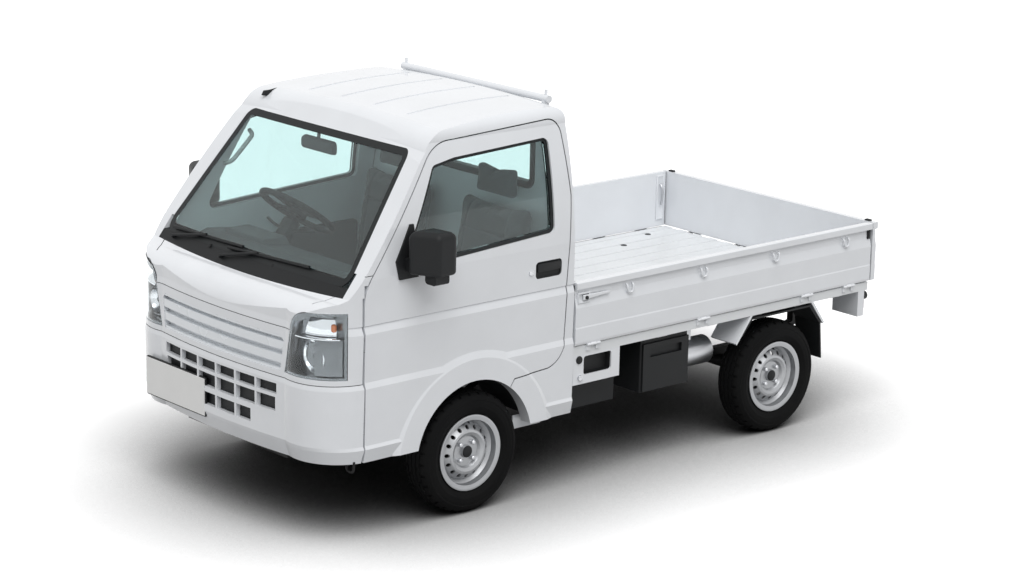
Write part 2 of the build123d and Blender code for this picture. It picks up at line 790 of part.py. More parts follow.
with BuildPart() as cab_floor:
    extrude(plan_sketch(SILL_Z, waist_in + SIDE_WALL, waist_in + NOSE_WALL, BACK_WALL), amount=PLATFORM_Z)
    floor_line = [
        (front_x, FOOT_Z), (riser_x + PLATE, FOOT_Z), (riser_x - 20, PLATFORM_Z), (inner_back, PLATFORM_Z),
        (inner_back, PLATFORM_Z - PLATE), (riser_x - 42, PLATFORM_Z - PLATE), (riser_x, FOOT_Z - PLATE),
        (front_x, FOOT_Z - PLATE),
    ]
    add(prism_y(floor_line, floor_side - half_w, half_w - floor_side), mode=Mode.INTERSECT)
    for hand in (1, -1):
        add(rod(king_point(strut_top + 0.5, hand), king_point(PLATFORM_Z - 5, hand), 34))
        near, far = sorted((hand * (half_w - floor_side - 20), hand * (half_w - waist_in - SIDE_WALL)))
        add(block(inner_back, inner_back + 20, near, far, PLATFORM_Z - PLATE, PLATFORM_Z))
save(cab_floor, "cab_floor")

# Dashboard between the hinge posts, with a bore for the steering column
steer_at = Vector(axle_f + 136.5, -345, WAIST_Z + 222)
steer_dir = Vector(-0.6, 0, 0.8)
COLUMN_R = 24
dash_half = post_y[0]
with BuildPart() as dashboard:
    dash_line = [
        (post_x[1], WAIST_Z + 80), (axle_f + 440, WAIST_Z + 138), (axle_f + 300, WAIST_Z + 120),
        (axle_f + 250, WAIST_Z + 40), (axle_f + 275, WAIST_Z - 90), (axle_f + 350, WAIST_Z - 160),
        (post_x[1], WAIST_Z - 160),
    ]
    add(prism_y(dash_line, -dash_half, dash_half))
    add(rod(tuple(steer_at), tuple(steer_at - steer_dir * 620), COLUMN_R + SEAT_GAP), mode=Mode.SUBTRACT)
save(dashboard, "dashboard")

with BuildPart() as steering_column:
    add(rod(tuple(steer_at - steer_dir * 45), tuple(steer_at - steer_dir * 520), COLUMN_R))
    add(rod(tuple(steer_at), tuple(steer_at - steer_dir * 60), 10))
save(steering_column, "steering_column")

WHEEL_RIM = 180
WHEEL_GRIP = 14
wheel_plane = Plane(origin=tuple(steer_at), x_dir=(0, 1, 0), z_dir=tuple(steer_dir))
with BuildPart(wheel_plane) as steering_wheel:
    Torus(WHEEL_RIM, WHEEL_GRIP)
    with BuildSketch(wheel_plane.offset(-22)):
        Circle(48)
    extrude(amount=34)
    with BuildSketch(wheel_plane.offset(-6)):
        Rectangle(2 * WHEEL_RIM - 8, 34)
        with Locations((0, -WHEEL_RIM / 2)):
            Rectangle(40, WHEEL_RIM - 8)
    extrude(amount=10)
    with BuildSketch(wheel_plane.offset(-30)):
        Circle(10 + RUN_GAP)
    extrude(amount=32, mode=Mode.SUBTRACT)
save(steering_wheel, "steering_wheel")

# Seats: base, cushion and a back with its headrest
SEAT_WIDTH = 470
seat_y = 345
back_line = [(inner_back + 100, PLATFORM_Z + 165), (inner_back + 205, PLATFORM_Z + 190),
             (inner_back + 140, PLATFORM_Z + 600), (inner_back + 120, PLATFORM_Z + 640),
             (inner_back + 70, PLATFORM_Z + 640), (inner_back + 45, PLATFORM_Z + 590)]
head_line = [(inner_back + 125, PLATFORM_Z + 640), (inner_back + 118, PLATFORM_Z + 790),
             (inner_back + 62, PLATFORM_Z + 790), (inner_back + 65, PLATFORM_Z + 640)]
with BuildPart() as seat_bases:
    for hand in (1, -1):
        middle = hand * seat_y
        add(block(inner_back + 150, inner_back + 560, middle - 170, middle + 170,
                  PLATFORM_Z, PLATFORM_Z + 60))
save(seat_bases, "seat_bases")
half_seat = SEAT_WIDTH / 2
with BuildPart() as seat_cushions:
    for hand in (1, -1):
        middle = hand * seat_y
        add(block(inner_back + 205 + SEAT_GAP, inner_back + 600, middle - half_seat, middle + half_seat,
                  PLATFORM_Z + 60, PLATFORM_Z + 190))
save(seat_cushions, "seat_cushions")
with BuildPart() as seat_backs:
    for hand in (1, -1):
        middle = hand * seat_y
        add(prism_y(back_line, middle - half_seat + 10, middle + half_seat - 10))
        add(prism_y(head_line, middle - 140, middle + 140))
        add(block(inner_back + 150, inner_back + 190, middle - 120, middle + 120,
                  PLATFORM_Z + 60, PLATFORM_Z + 170))
save(seat_backs, "seat_backs")

# Ladder frame: two cranked rails with cross-members
RAIL_IN = 315
RAIL_OUT = 365
rail_low = (300, 372)
rail_high = (470, 560)
kick_x = (axle_f - 220, axle_f - 560)
frame_end = bed_rear + 52
rail_line = [
    (front_x - 110, rail_low[1]), (kick_x[0], rail_low[1]),
    (kick_x[1], rail_high[1]), (frame_end, rail_high[1]),
    (frame_end, rail_high[0]), (kick_x[1] + 40, rail_high[0]), (kick_x[0] + 40, rail_low[0]),
    (front_x - 110, rail_low[0]),
]
members = [
    (front_x - 170, 60, rail_low[0], rail_low[1]),
    (axle_f - 70, 140, rail_low[0] - 90, rail_low[0]),
    (kick_x[1] - 220, 60, rail_high[0] + 15, rail_high[1] - 15),
    (kick_x[1] - 900, 60, rail_high[0] + 15, rail_high[1] - 15),
    (axle_r - 300, 60, rail_high[0] + 15, rail_high[1] - 15),
    (frame_end, 60, rail_high[0] + 5, rail_high[1] - 5),
]
with BuildPart() as frame_rails:
    for hand in (1, -1):
        near, far = sorted((hand * RAIL_IN, hand * RAIL_OUT))
        add(prism_y(rail_line, near, far))
save(frame_rails, "frame_rails")
with BuildPart() as cross_members:
    for start, run, low, high in members:
        reach = RAIL_OUT if low < rail_low[0] else RAIL_IN
        add(block(start, start + run, -reach, reach, low, high))
save(cross_members, "cross_members")

# Front suspension arms on the low cross-member, each with a pin on its steering axis
BALL_Z = 192
arm_low = rail_low[0] - 88
with BuildPart() as control_arms:
    for hand in (1, -1):
        ball = king_point(BALL_Z - 10, hand)
        plan = [(axle_f - 70, hand * RAIL_OUT), (axle_f + 70, hand * RAIL_OUT),
                (axle_f + 20, ball[1]), (axle_f - 20, ball[1])]
        add(prism_z(plan, BALL_Z - 22, BALL_Z - 2))
        near, far = sorted((hand * RAIL_OUT, hand * (RAIL_OUT + 26)))
        add(block(axle_f - 68, axle_f + 68, near, far, BALL_Z - 22, rail_low[0] - 20))
        add(rod(king_point(BALL_Z - 22, hand), king_point(BALL_Z - 2, hand), 22))
        add(rod(king_point(BALL_Z - 8, hand), king_point(BALL_Z + 24, hand), 9))
save(control_arms, "control_arms")

# Engine with its gearbox, on arms between the rails
with BuildPart() as engine:
    add(block(kick_x[1] + 80, axle_f - 90, -200, 200, 235, 560))
    add(block(kick_x[1] - 230, kick_x[1] + 80, -105, 105, 260, rail_high[0] + 15))
    add(block(kick_x[0] + 60, kick_x[0] + 125, -RAIL_IN, RAIL_IN, rail_low[0] + 10, rail_low[0] + 50))
save(engine, "engine")

# Rear axle with drums and stubs
DRUM_R = 100
SHIELD_R = 62
STUB_R = 20
DIFF_R = 95
rear_stub = TRACK_REAR / 2 + 13
front_stub = TRACK_FRONT / 2 + 13
with BuildPart() as rear_axle:
    add(rod((axle_r, -560, TYRE_RADIUS), (axle_r, 560, TYRE_RADIUS), 32))
    with Locations((axle_r, 0, TYRE_RADIUS)):
        Sphere(DIFF_R)
    add(rod((axle_r, 0, TYRE_RADIUS), (axle_r + 135, 0, TYRE_RADIUS + 12), 42))
    for hand in (1, -1):
        drum_in = TRACK_REAR / 2 - 100
        add(rod((axle_r, hand * drum_in, TYRE_RADIUS), (axle_r, hand * (drum_in + 40), TYRE_RADIUS), DRUM_R))
        add(rod((axle_r, hand * drum_in, TYRE_RADIUS), (axle_r, hand * rear_stub, TYRE_RADIUS), STUB_R))
save(rear_axle, "rear_axle")

# Leaf springs with their hangers under the rails
SPRING_T = 24
spring_seat = TYRE_RADIUS + 38
with BuildPart() as leaf_springs:
    for hand in (1, -1):
        near, far = sorted((hand * (RAIL_IN + 5), hand * (RAIL_OUT - 5)))
        with BuildSketch(side_plane(far)):
            with BuildLine():
                ThreePointArc(
                    (axle_r - 520, spring_seat + 66), (axle_r, spring_seat), (axle_r + 500, spring_seat + 66),
                )
                Line((axle_r + 500, spring_seat + 66), (axle_r + 500, spring_seat + 66 + SPRING_T))
                ThreePointArc(
                    (axle_r + 500, spring_seat + 66 + SPRING_T),
                    (axle_r, spring_seat + SPRING_T),
                    (axle_r - 520, spring_seat + 66 + SPRING_T),
                )
                Line((axle_r - 520, spring_seat + 66 + SPRING_T), (axle_r - 520, spring_seat + 66))
            make_face()
        extrude(amount=far - near)
        add(block(axle_r - 60, axle_r + 60, near, far, TYRE_RADIUS + 32, spring_seat + SPRING_T + 10))
        for place in (axle_r - 520, axle_r + 464):
            add(block(place, place + 36, near, far, spring_seat + 60, rail_high[0]))
save(leaf_springs, "leaf_springs")

with BuildPart() as propeller_shaft:
    add(rod((kick_x[1] - 233, 0, 365), (axle_r + 138, 0, TYRE_RADIUS + 12.1), 30))
save(propeller_shaft, "propeller_shaft")

# Bed floor with ribs, cross-beams and side rails
RIB_COUNT = 13
RIB_WIDTH = 48
BEAM_LOW = 590
beam_places = [
    bed_front - 90, bed_front - 282, bed_front - 582, bed_front - 902,
    axle_r + 120, axle_r - 160, axle_r - 420,
]
rail_half = half_w - 15.5
floor_half = half_w - 47.5
gate_rear = bed_rear + 42
sill_high = FLOOR_Z - 12
with BuildPart() as bed_floor:
    add(block(gate_rear, bed_front, -floor_half, floor_half, sill_high, FLOOR_Z - 4))
    for index in range(RIB_COUNT):
        middle = (index - (RIB_COUNT - 1) / 2) * (2 * floor_half - RIB_WIDTH) / (RIB_COUNT - 1)
        add(block(gate_rear, bed_front - 30, middle - RIB_WIDTH / 2, middle + RIB_WIDTH / 2,
                  FLOOR_Z - 4, FLOOR_Z))
    for place in beam_places:
        add(block(place - 30, place + 30, -floor_half, floor_half, BEAM_LOW, sill_high))
    for hand in (1, -1):
        near, far = sorted((hand * floor_half, hand * rail_half))
        add(block(gate_rear, bed_front, near, far, FLOOR_Z - 48, FLOOR_Z - 7))
        near, far = sorted((hand * RAIL_IN, hand * RAIL_OUT))
        add(block(frame_end, bed_front, near, far, rail_high[1], BEAM_LOW))
save(bed_floor, "bed_floor")

# Side gates: folded profile with top rail and bevel, turning on pins along the bottom edge
gate_pin_y = half_w - HINGE_R
gate_pin_z = FLOOR_Z - 6
gate_out = half_w - 5.5
gate_in = gate_out - GATE_WALL
gate_low = FLOOR_Z + 1
gate_line = [
    (gate_in, gate_low), (gate_out - 2, gate_low), (gate_out, gate_low + 10), (gate_out, GATE_TOP - 212),
    (gate_out - 2, GATE_TOP - 206), (gate_out - 1, GATE_TOP - 117), (gate_out - 11, GATE_TOP - 72),
    (gate_out - 11, GATE_TOP - 35), (half_w - 1, GATE_TOP - 30), (half_w - 1, GATE_TOP - 3),
    (half_w - 4, GATE_TOP), (gate_in, GATE_TOP),
]
gate_hinges = [bed_front - 130, bed_front - 820, axle_r - 190, bed_rear + 170]
KNUCKLE = 34
PIN_R = 3
with BuildPart() as side_gate_left:
    add(prism_x(gate_line, gate_rear, bed_front - 2))
    for place in gate_hinges:
        add(block(place, place + KNUCKLE, gate_out - 14, gate_out - 1, gate_pin_z, gate_low + 4))
        add(rod((place, gate_pin_y, gate_pin_z), (place + KNUCKLE, gate_pin_y, gate_pin_z), HINGE_R))
        far = place + KNUCKLE + 1
        add(rod((place - 1, gate_pin_y, gate_pin_z), (far, gate_pin_y, gate_pin_z), PIN_R + RUN_GAP),
            mode=Mode.SUBTRACT)
save(side_gate_left, "side_gate_left")
mirrored(side_gate_left, "side_gate_right")

tail_pin_x = bed_rear + HINGE_R + 1
tail_out = bed_rear + 6
tail_in = tail_out + GATE_WALL
tail_half = half_w - 5.5
tail_line = [
    (tail_in, gate_low), (tail_out + 2, gate_low), (tail_out, gate_low + 10), (tail_out, GATE_TOP - 212),
    (tail_out + 2, GATE_TOP - 206), (tail_out + 1, GATE_TOP - 117), (tail_out + 11, GATE_TOP - 72),
    (tail_out + 11, GATE_TOP - 35), (bed_rear, GATE_TOP - 30), (bed_rear, GATE_TOP - 3),
    (bed_rear + 3, GATE_TOP), (tail_in, GATE_TOP),
]
tail_hinges = [-520, -180, 146, 486]
with BuildPart() as tailgate:
    add(prism_y(tail_line, -tail_half, tail_half))
    for place in tail_hinges:
        add(block(tail_out + 1, tail_out + 14, place, place + KNUCKLE, gate_pin_z, gate_low + 4))
        add(rod((tail_pin_x, place, gate_pin_z), (tail_pin_x, place + KNUCKLE, gate_pin_z), HINGE_R))
        far = place + KNUCKLE + 1
        add(rod((tail_pin_x, place - 1, gate_pin_z), (tail_pin_x, far, gate_pin_z), PIN_R + RUN_GAP),
            mode=Mode.SUBTRACT)
save(tailgate, "tailgate")

# Fixed hinge halves with their pins, on the bed's side rails and rear sill
with BuildPart() as gate_hinge_sets:
    for hand in (1, -1):
        for place in gate_hinges:
            pin_y = hand * gate_pin_y
            add(rod((place - 22, pin_y, gate_pin_z), (place + KNUCKLE + 22, pin_y, gate_pin_z), PIN_R))
            for start in (place - 22, place + KNUCKLE + 0.5):
                add(rod((start, pin_y, gate_pin_z), (start + 21.5, pin_y, gate_pin_z), HINGE_R))
                near, far = sorted((hand * rail_half, hand * (gate_pin_y - 2)))
                add(block(start, start + 21.5, near, far, gate_pin_z - 26, gate_pin_z))
    for place in tail_hinges:
        add(rod((tail_pin_x, place - 22, gate_pin_z), (tail_pin_x, place + KNUCKLE + 22, gate_pin_z), PIN_R))
        for start in (place - 22, place + KNUCKLE + 0.5):
            add(rod((tail_pin_x, start, gate_pin_z), (tail_pin_x, start + 21.5, gate_pin_z), HINGE_R))
            add(block(tail_pin_x, gate_rear, start, start + 21.5, gate_pin_z - 18, gate_pin_z))
save(gate_hinge_sets, "gate_hinge_sets")

# Headboard and guard frame behind the cab
POST_R = 17
guard_y = 508
guard_x = bed_front - 14
bar_z = HEIGHT - 40
with BuildPart() as guard_frame:
    add(block(bed_front - 24, bed_front - 4, -gate_in + DOOR_GAP, gate_in - DOOR_GAP, FLOOR_Z - 4, GATE_TOP))
    for hand in (1, -1):
        bar_y = hand * (guard_y - 25)
        add(rod((guard_x, bar_y, FLOOR_Z + 200), (guard_x, bar_y, bar_z), POST_R))
        add(rod((guard_x, hand * (guard_y - 22), bar_z), (guard_x, hand * (guard_y - 22), HEIGHT), 7))
    add(rod((guard_x, -guard_y, bar_z), (guard_x, guard_y, bar_z), POST_R))
save(guard_frame, "guard_frame")

# Underbody boxes hung from the cross-beams
tank_in = RAIL_OUT + 30
tank_out = half_w - 97
with BuildPart() as fuel_tank:
    add(block(bed_front - 702, bed_front - 192, -tank_out, -tank_in, BEAM_LOW - 270, BEAM_LOW - 60))
    fillet(fuel_tank.edges().filter_by(Axis.X), 30)
    for place in beam_places[1:3]:
        add(block(place - 15, place + 15, -tank_out, 40 - tank_out, BEAM_LOW - 90, BEAM_LOW))
        add(block(place - 15, place + 15, -tank_in - 45, -tank_in - 5, BEAM_LOW - 90, BEAM_LOW))
save(fuel_tank, "fuel_tank")

with BuildPart() as battery_box:
    add(block(bed_front - 771, bed_front - 471, half_w - 268, half_w - 70, BEAM_LOW - 255, BEAM_LOW))
    fillet(battery_box.edges().filter_by(Axis.Z), 14)
    add(block(bed_front - 765, bed_front - 477, half_w - 72, half_w - 60, BEAM_LOW - 250, BEAM_LOW - 26))
    add(block(bed_front - 720, bed_front - 522, half_w - 74, half_w - 50, BEAM_LOW - 92, BEAM_LOW - 52),
        mode=Mode.SUBTRACT)
save(battery_box, "battery_box")

muffler_x = beam_places[3]
muffler_y = half_w - 217
with BuildPart() as exhaust:
    add(rod((muffler_x - 118, muffler_y, 420), (muffler_x + 90, muffler_y, 420), 68))
    add(block(muffler_x - 12, muffler_x + 12, muffler_y - 20, muffler_y + 20, 470, BEAM_LOW))
    add(rod((muffler_x + 80, muffler_y, 420), (muffler_x + 115, RAIL_IN - 15, 300), 19))
save(exhaust, "exhaust")

# Black covers: arch liners over the front wheels, backing of the intake, lower lip and air box
LINER_IN = ARCH_RADIUS + 6
LINER_OUT = ARCH_RADIUS + 13
liner_y = (half_w - 300, half_w - 70)
cover_back = waist_in + NOSE_WALL + SEAT_GAP
with BuildPart() as intake_back:
    extrude(plan_sketch(BELT_Z - 250, waist_in + SIDE_WALL, cover_back, 0), amount=224)
    extrude(plan_sketch(BELT_Z - 250, waist_in + SIDE_WALL, cover_back + 9, -5), amount=224,
            mode=Mode.SUBTRACT)
    add(block(front_x - 200, front_x, -3 * CELL_PITCH - 12, 3 * CELL_PITCH + 12, SILL_Z, BELT_Z),
        mode=Mode.INTERSECT)
with BuildPart() as under_covers:
    with BuildSketch(side_plane(liner_y[1])):
        with Locations((arch_x, arch_z)):
            Circle(LINER_OUT)
            Circle(LINER_IN, mode=Mode.SUBTRACT)
    extrude(amount=liner_y[1] - liner_y[0])
    add(block(arch_x - 500, arch_x + 500, -10, WIDTH, arch_z + 110, PLATFORM_Z - PLATE), mode=Mode.INTERSECT)
    add(rod(king_point(strut_top - 120, 1), king_point(PLATFORM_Z, 1), 52), mode=Mode.SUBTRACT)
    for place in (arch_x - 90, arch_x + 90):
        add(block(place - 20, place + 20, liner_y[0], liner_y[1], arch_z + LINER_IN - 20, PLATFORM_Z - PLATE))
    with BuildSketch(side_plane(liner_y[1])):
        with Locations((arch_x, arch_z)):
            Circle(LINER_IN)
    extrude(amount=liner_y[1] - liner_y[0], mode=Mode.SUBTRACT)
    mirror(about=Plane.XZ)
    add(block(bed_front - 330, bed_front - 22, half_w - 180, half_w - 98, BEAM_LOW - 262, BEAM_LOW))
    add(block(front_x - 300, front_x - 170, 40 - RAIL_IN, RAIL_IN - 40, rail_low[0], rail_low[1]))
    add(intake_back.part)
save(under_covers, "under_covers")


# White brackets under the bed side: tool panel, wheel brackets and rear posts
panel_low = FLOOR_Z - 185
bracket_high = FLOOR_Z - 48
lamp_face = bed_rear + 20
bracket_lines = [
    [(axle_r + 184, bracket_high), (axle_r + 284, FLOOR_Z - 176), (axle_r + 292, FLOOR_Z - 168),
     (axle_r + 200, bracket_high)],
    [(axle_r - 216, bracket_high), (axle_r - 306, FLOOR_Z - 167), (axle_r - 314, FLOOR_Z - 160),
     (axle_r - 232, bracket_high)],
]
with BuildPart() as side_brackets:
    add(block(bed_front - 284, bed_front, rail_half - 8, rail_half, panel_low, bracket_high))
    add(block(bed_front - 284, bed_front, rail_half - 32, rail_half, FLOOR_Z - 58, bracket_high))
    with BuildSketch(side_plane(rail_half + 5)):
        with Locations((bed_front - 149, FLOOR_Z - 102)):
            RectangleRounded(168, 86, 14)
    extrude(amount=20, mode=Mode.SUBTRACT)
    for hand in (1, -1):
        near, far = sorted((hand * (half_w - 180), hand * rail_half))
        for line in bracket_lines:
            add(prism_y(line, near, far))
        add(block(bed_rear + 63, bed_rear + 106, near, far, FLOOR_Z - 174, bracket_high))
save(side_brackets, "side_brackets")

# Black mudguards over the rear wheels, with a flap behind each
guard_low = BEAM_LOW - 8
arch_line = [
    (axle_r + 250, FLOOR_Z - 141), (axle_r + 186, BEAM_LOW), (axle_r - 216, BEAM_LOW),
    (axle_r - 294, FLOOR_Z - 160), (axle_r - 310, FLOOR_Z - 340), (axle_r - 303, FLOOR_Z - 340),
    (axle_r - 285, FLOOR_Z - 160), (axle_r - 211, guard_low), (axle_r + 181, guard_low),
    (axle_r + 242, FLOOR_Z - 141),
]
with BuildPart() as mudguards:
    for hand in (1, -1):
        near, far = sorted((hand * (half_w - 180), hand * (rail_half - 4)))
        add(prism_y(arch_line, near, far))
save(mudguards, "mudguards")

with BuildPart() as tail_lamps:
    for hand in (1, -1):
        near, far = sorted((hand * (half_w - 175), hand * (half_w - 45)))
        add(block(lamp_face, bed_rear + 63, near, far, FLOOR_Z - 150, FLOOR_Z - 60))
save(tail_lamps, "tail_lamps")

# Front knuckles: steering boss, stub, brake shield and strut on the inclined steering axis
with BuildPart() as knuckle_left:
    add(rod(king_point(BALL_Z + 8, 1), king_point(strut_top, 1), 21))
    add(rod((axle_f, KING_Y - 20, TYRE_RADIUS), (axle_f, TRACK_FRONT / 2 - 62, TYRE_RADIUS), 42))
    shield_y = TRACK_FRONT / 2 - 70
    add(rod((axle_f, shield_y, TYRE_RADIUS), (axle_f, shield_y + 10, TYRE_RADIUS), SHIELD_R))
    add(rod((axle_f, TRACK_FRONT / 2 - 70, TYRE_RADIUS), (axle_f, front_stub, TYRE_RADIUS), STUB_R))
    add(rod(king_point(BALL_Z - 8, 1), king_point(BALL_Z + 25, 1), 9 + RUN_GAP), mode=Mode.SUBTRACT)
save(knuckle_left, "knuckle_left")
mirrored(knuckle_left, "knuckle_right")

# Wheels: pressed rim with vent holes and hub, and a hollow tyre
rim_line = [
    (170, 62), (170, 56), (RIM_RADIUS, 54), (150, 26), (132, 16), (132, -14), (150, -24), (RIM_RADIUS, -54),
    (170, -56), (170, -62), (164, -62), (147, -59), (145, -27),
    (127, -17), (127, 6), (117, 22), (95, 40), (88, 42),
    (78, 35), (70, 22), (34, 20), (34, -20), (STUB_R + RUN_GAP, -20),
    (STUB_R + RUN_GAP, 15), (0, 15), (0, 40),
    (27, 40), (29, 28), (66, 28), (74, 40), (88, 48),
    (98, 46), (122, 26), (128, 14), (145, 29), (147, 59), (164, 62),
]
half_tyre = TYRE_WIDTH / 2
tyre_line = [
    (RIM_RADIUS + 0.5, 53.5), (172, 53.5), (190, 66), (215, half_tyre), (240, 69), (258, 60), (268, 46),
    (TYRE_RADIUS, 30), (TYRE_RADIUS, -30), (268, -46), (258, -60), (240, -69), (215, -half_tyre), (190, -66),
    (172, -53.5), (RIM_RADIUS + 0.5, -53.5), (RIM_RADIUS + 0.5, -40),
    (172, -44), (215, -62), (252, -52), (258, -30),
    (258, 30), (252, 52), (215, 62), (172, 44), (RIM_RADIUS + 0.5, 40),
]
VENT_COUNT = 16
NUT_COUNT = 4
wheels = [
    ("front_left", axle_f, TRACK_FRONT / 2, 1),
    ("front_right", axle_f, -TRACK_FRONT / 2, -1),
    ("rear_left", axle_r, TRACK_REAR / 2, 1),
    ("rear_right", axle_r, -TRACK_REAR / 2, -1),
]
for corner, wheel_x, wheel_y, hand in wheels:
    face = Plane(origin=(wheel_x, wheel_y, TYRE_RADIUS), x_dir=(1, 0, 0), z_dir=(0, hand, 0))
    with BuildPart() as rim:
        add(turned_y(rim_line, wheel_x, wheel_y, TYRE_RADIUS, hand))
        with BuildSketch(face):
            with PolarLocations(110, VENT_COUNT):
                Circle(9)
        extrude(amount=60, mode=Mode.SUBTRACT)
        with BuildSketch(face.offset(24)):
            with PolarLocations(50, NUT_COUNT, start_angle=45):
                RegularPolygon(10, 6)
        extrude(amount=18)
    save(rim, f"rim_{corner}")
    with BuildPart() as tyre:
        add(turned_y(tyre_line, wheel_x, wheel_y, TYRE_RADIUS, hand))
    save(tyre, f"tyre_{corner}")

# Door mirrors: head swept back, with a lower lobe, on a stalk and a triangular base
MIRROR_ROUND = 34
mirror_in = half_w + 20
mirror_out = half_w + 163
mirror_low = WAIST_Z + 202
mirror_high = WAIST_Z + 386
head_line = [
    (door_front - 172, mirror_in), (door_front - 250, mirror_out),
    (door_front - 358, mirror_out), (door_front - 332, mirror_in),
]
glass_line = [
    (door_front - 345, mirror_in + 14), (door_front - 365, mirror_out - 14),
    (door_front - 349, mirror_out - 14), (door_front - 329, mirror_in + 14),
]
with BuildPart() as mirror_head:
    add(prism_z(head_line, mirror_low, mirror_high))
    fillet(mirror_head.edges().filter_by(Axis.Z), MIRROR_ROUND - 8)
    fillet(mirror_head.faces().sort_by(Axis.Z)[-1].edges(), MIRROR_ROUND)
    fillet(mirror_head.faces().sort_by(Axis.Z)[0].edges(), MIRROR_ROUND / 2)
    add(prism_z(glass_line, mirror_low + 22, mirror_high - 40), mode=Mode.SUBTRACT)
with BuildPart() as mirror_lobe:
    add(block(door_front - 322, door_front - 250, half_w + 70, half_w + 142, mirror_low - 40, mirror_low + 30))
    fillet(mirror_lobe.edges().filter_by(Axis.X), 16)
with BuildPart() as mirror_left:
    base_line = [
        (door_front - 160, WAIST_Z + 250), (door_front - 176, WAIST_Z + 172), (door_front - 276, WAIST_Z + 172),
        (door_front - 262, WAIST_Z + 396), (door_front - 244, WAIST_Z + 396),
    ]
    add(prism_y(base_line, half_w - 100, half_w + 8))
    extrude(side_section(-9), amount=CAB_LENGTH, mode=Mode.INTERSECT)
    add(block(door_front - 262, door_front - 206, half_w - 30, half_w + 60, WAIST_Z + 208, WAIST_Z + 262))
    add(cab_outer.part, mode=Mode.SUBTRACT)
    add(mirror_head.part)
    add(mirror_lobe.part)
save(mirror_left, "mirror_left")
mirrored(mirror_left, "mirror_right")

# Wipers parked on the lower screen
screen_normal = Vector(0.775, 0, 0.632)


def screen_point(y, z, proud):
    """Point in front of the windscreen face at a side distance and height."""
    level_low, level_high = WAIST_Z - 60, ROOF_Z + 60
    bow = 40 + (3 - 40) * (z - level_low) / (level_high - level_low)
    middle = screen_foot[0] - (z - screen_foot[1]) * screen_run - bow * (y / 820) ** 2
    return tuple(Vector(middle, y, z) + screen_normal * proud)


wiper_table = [(-560, 1078, -330, 1120, -590, 1108, -60, 1122), (-170, 1068, 60, 1116, -150, 1104, 400, 1124)]
with BuildPart() as wipers:
    for pivot_y, pivot_z, tip_y, tip_z, near_y, near_z, far_y, far_z in wiper_table:
        add(rod(screen_point(pivot_y, pivot_z, -20), screen_point(pivot_y, pivot_z, 18), 11))
        add(rod(screen_point(pivot_y, pivot_z, 14), screen_point(tip_y, tip_z, 16), 6))
        add(rod(screen_point(near_y, near_z, 10), screen_point(far_y, far_z, 10), 7))
    add(screen_volume(1), mode=Mode.SUBTRACT)
save(wipers, "wipers")
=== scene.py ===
"""Dressed model of a small flat-bed truck: finishes, trim, lamps, soft seats and the stage."""
from __future__ import annotations

import json
import logging
import math
from dataclasses import dataclass
from enum import Enum
from typing import Callable, Sequence

import bpy
from mathutils import Matrix, Vector

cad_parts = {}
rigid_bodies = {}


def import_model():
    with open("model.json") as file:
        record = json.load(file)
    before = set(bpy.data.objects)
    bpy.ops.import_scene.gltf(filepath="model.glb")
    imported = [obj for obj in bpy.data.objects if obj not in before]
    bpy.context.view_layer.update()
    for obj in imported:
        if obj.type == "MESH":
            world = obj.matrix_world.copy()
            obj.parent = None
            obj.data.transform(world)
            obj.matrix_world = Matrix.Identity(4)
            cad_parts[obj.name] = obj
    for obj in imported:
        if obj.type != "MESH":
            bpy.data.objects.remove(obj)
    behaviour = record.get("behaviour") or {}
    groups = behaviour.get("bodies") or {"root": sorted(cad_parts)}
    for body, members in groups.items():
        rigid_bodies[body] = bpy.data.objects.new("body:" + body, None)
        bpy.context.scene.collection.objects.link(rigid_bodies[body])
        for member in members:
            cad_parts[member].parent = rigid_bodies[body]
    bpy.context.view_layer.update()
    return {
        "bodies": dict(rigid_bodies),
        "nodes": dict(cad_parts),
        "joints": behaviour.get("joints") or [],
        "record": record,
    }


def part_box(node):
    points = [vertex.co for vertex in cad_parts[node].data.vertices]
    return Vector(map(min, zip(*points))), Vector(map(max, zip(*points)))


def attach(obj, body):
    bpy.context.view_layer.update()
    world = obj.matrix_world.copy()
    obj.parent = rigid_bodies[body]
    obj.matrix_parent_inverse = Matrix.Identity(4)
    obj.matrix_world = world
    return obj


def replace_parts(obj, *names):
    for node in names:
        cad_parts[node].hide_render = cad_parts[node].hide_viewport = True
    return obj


LOG = logging.getLogger("truck")
Point = Sequence[float]
Colour = tuple[float, float, float]


class Axis(Enum):
    """Direction along which a round piece is laid."""

    ALONG = "X"
    ACROSS = "Y"
    UP = "Z"


class Facing(Enum):
    """Side of a piece, as the number of its axis and the way along it."""

    FRONT = (0, 1)
    REAR = (0, -1)
    LEFT = (1, 1)
    RIGHT = (1, -1)
    TOP = (2, 1)
    BOTTOM = (2, -1)


FLUSH = 0.9


# Node building


def add_node(tree: bpy.types.NodeTree, kind: str, feeds: dict | None = None, **settings) -> bpy.types.Node:
    """Place one shader node and fill its inputs.

    Args:
        tree: Tree that takes the node.
        kind: Blender's name of the node type.
        feeds: Input name or number to a value or to a socket that is linked to it.
        settings: Attributes set on the node.

    Returns:
        The new node.
    """
    node = tree.nodes.new(kind)
    for key, value in settings.items():
        setattr(node, key, value)
    for key, value in (feeds or {}).items():
        if isinstance(value, bpy.types.NodeSocket):
            tree.links.new(value, node.inputs[key])
        else:
            node.inputs[key].default_value = value
    return node


def math_node(tree: bpy.types.NodeTree, operation: str, first, second=0.0) -> bpy.types.NodeSocket:
    """Output of one math node on two values or sockets."""
    return add_node(tree, "ShaderNodeMath", {0: first, 1: second}, operation=operation).outputs[0]


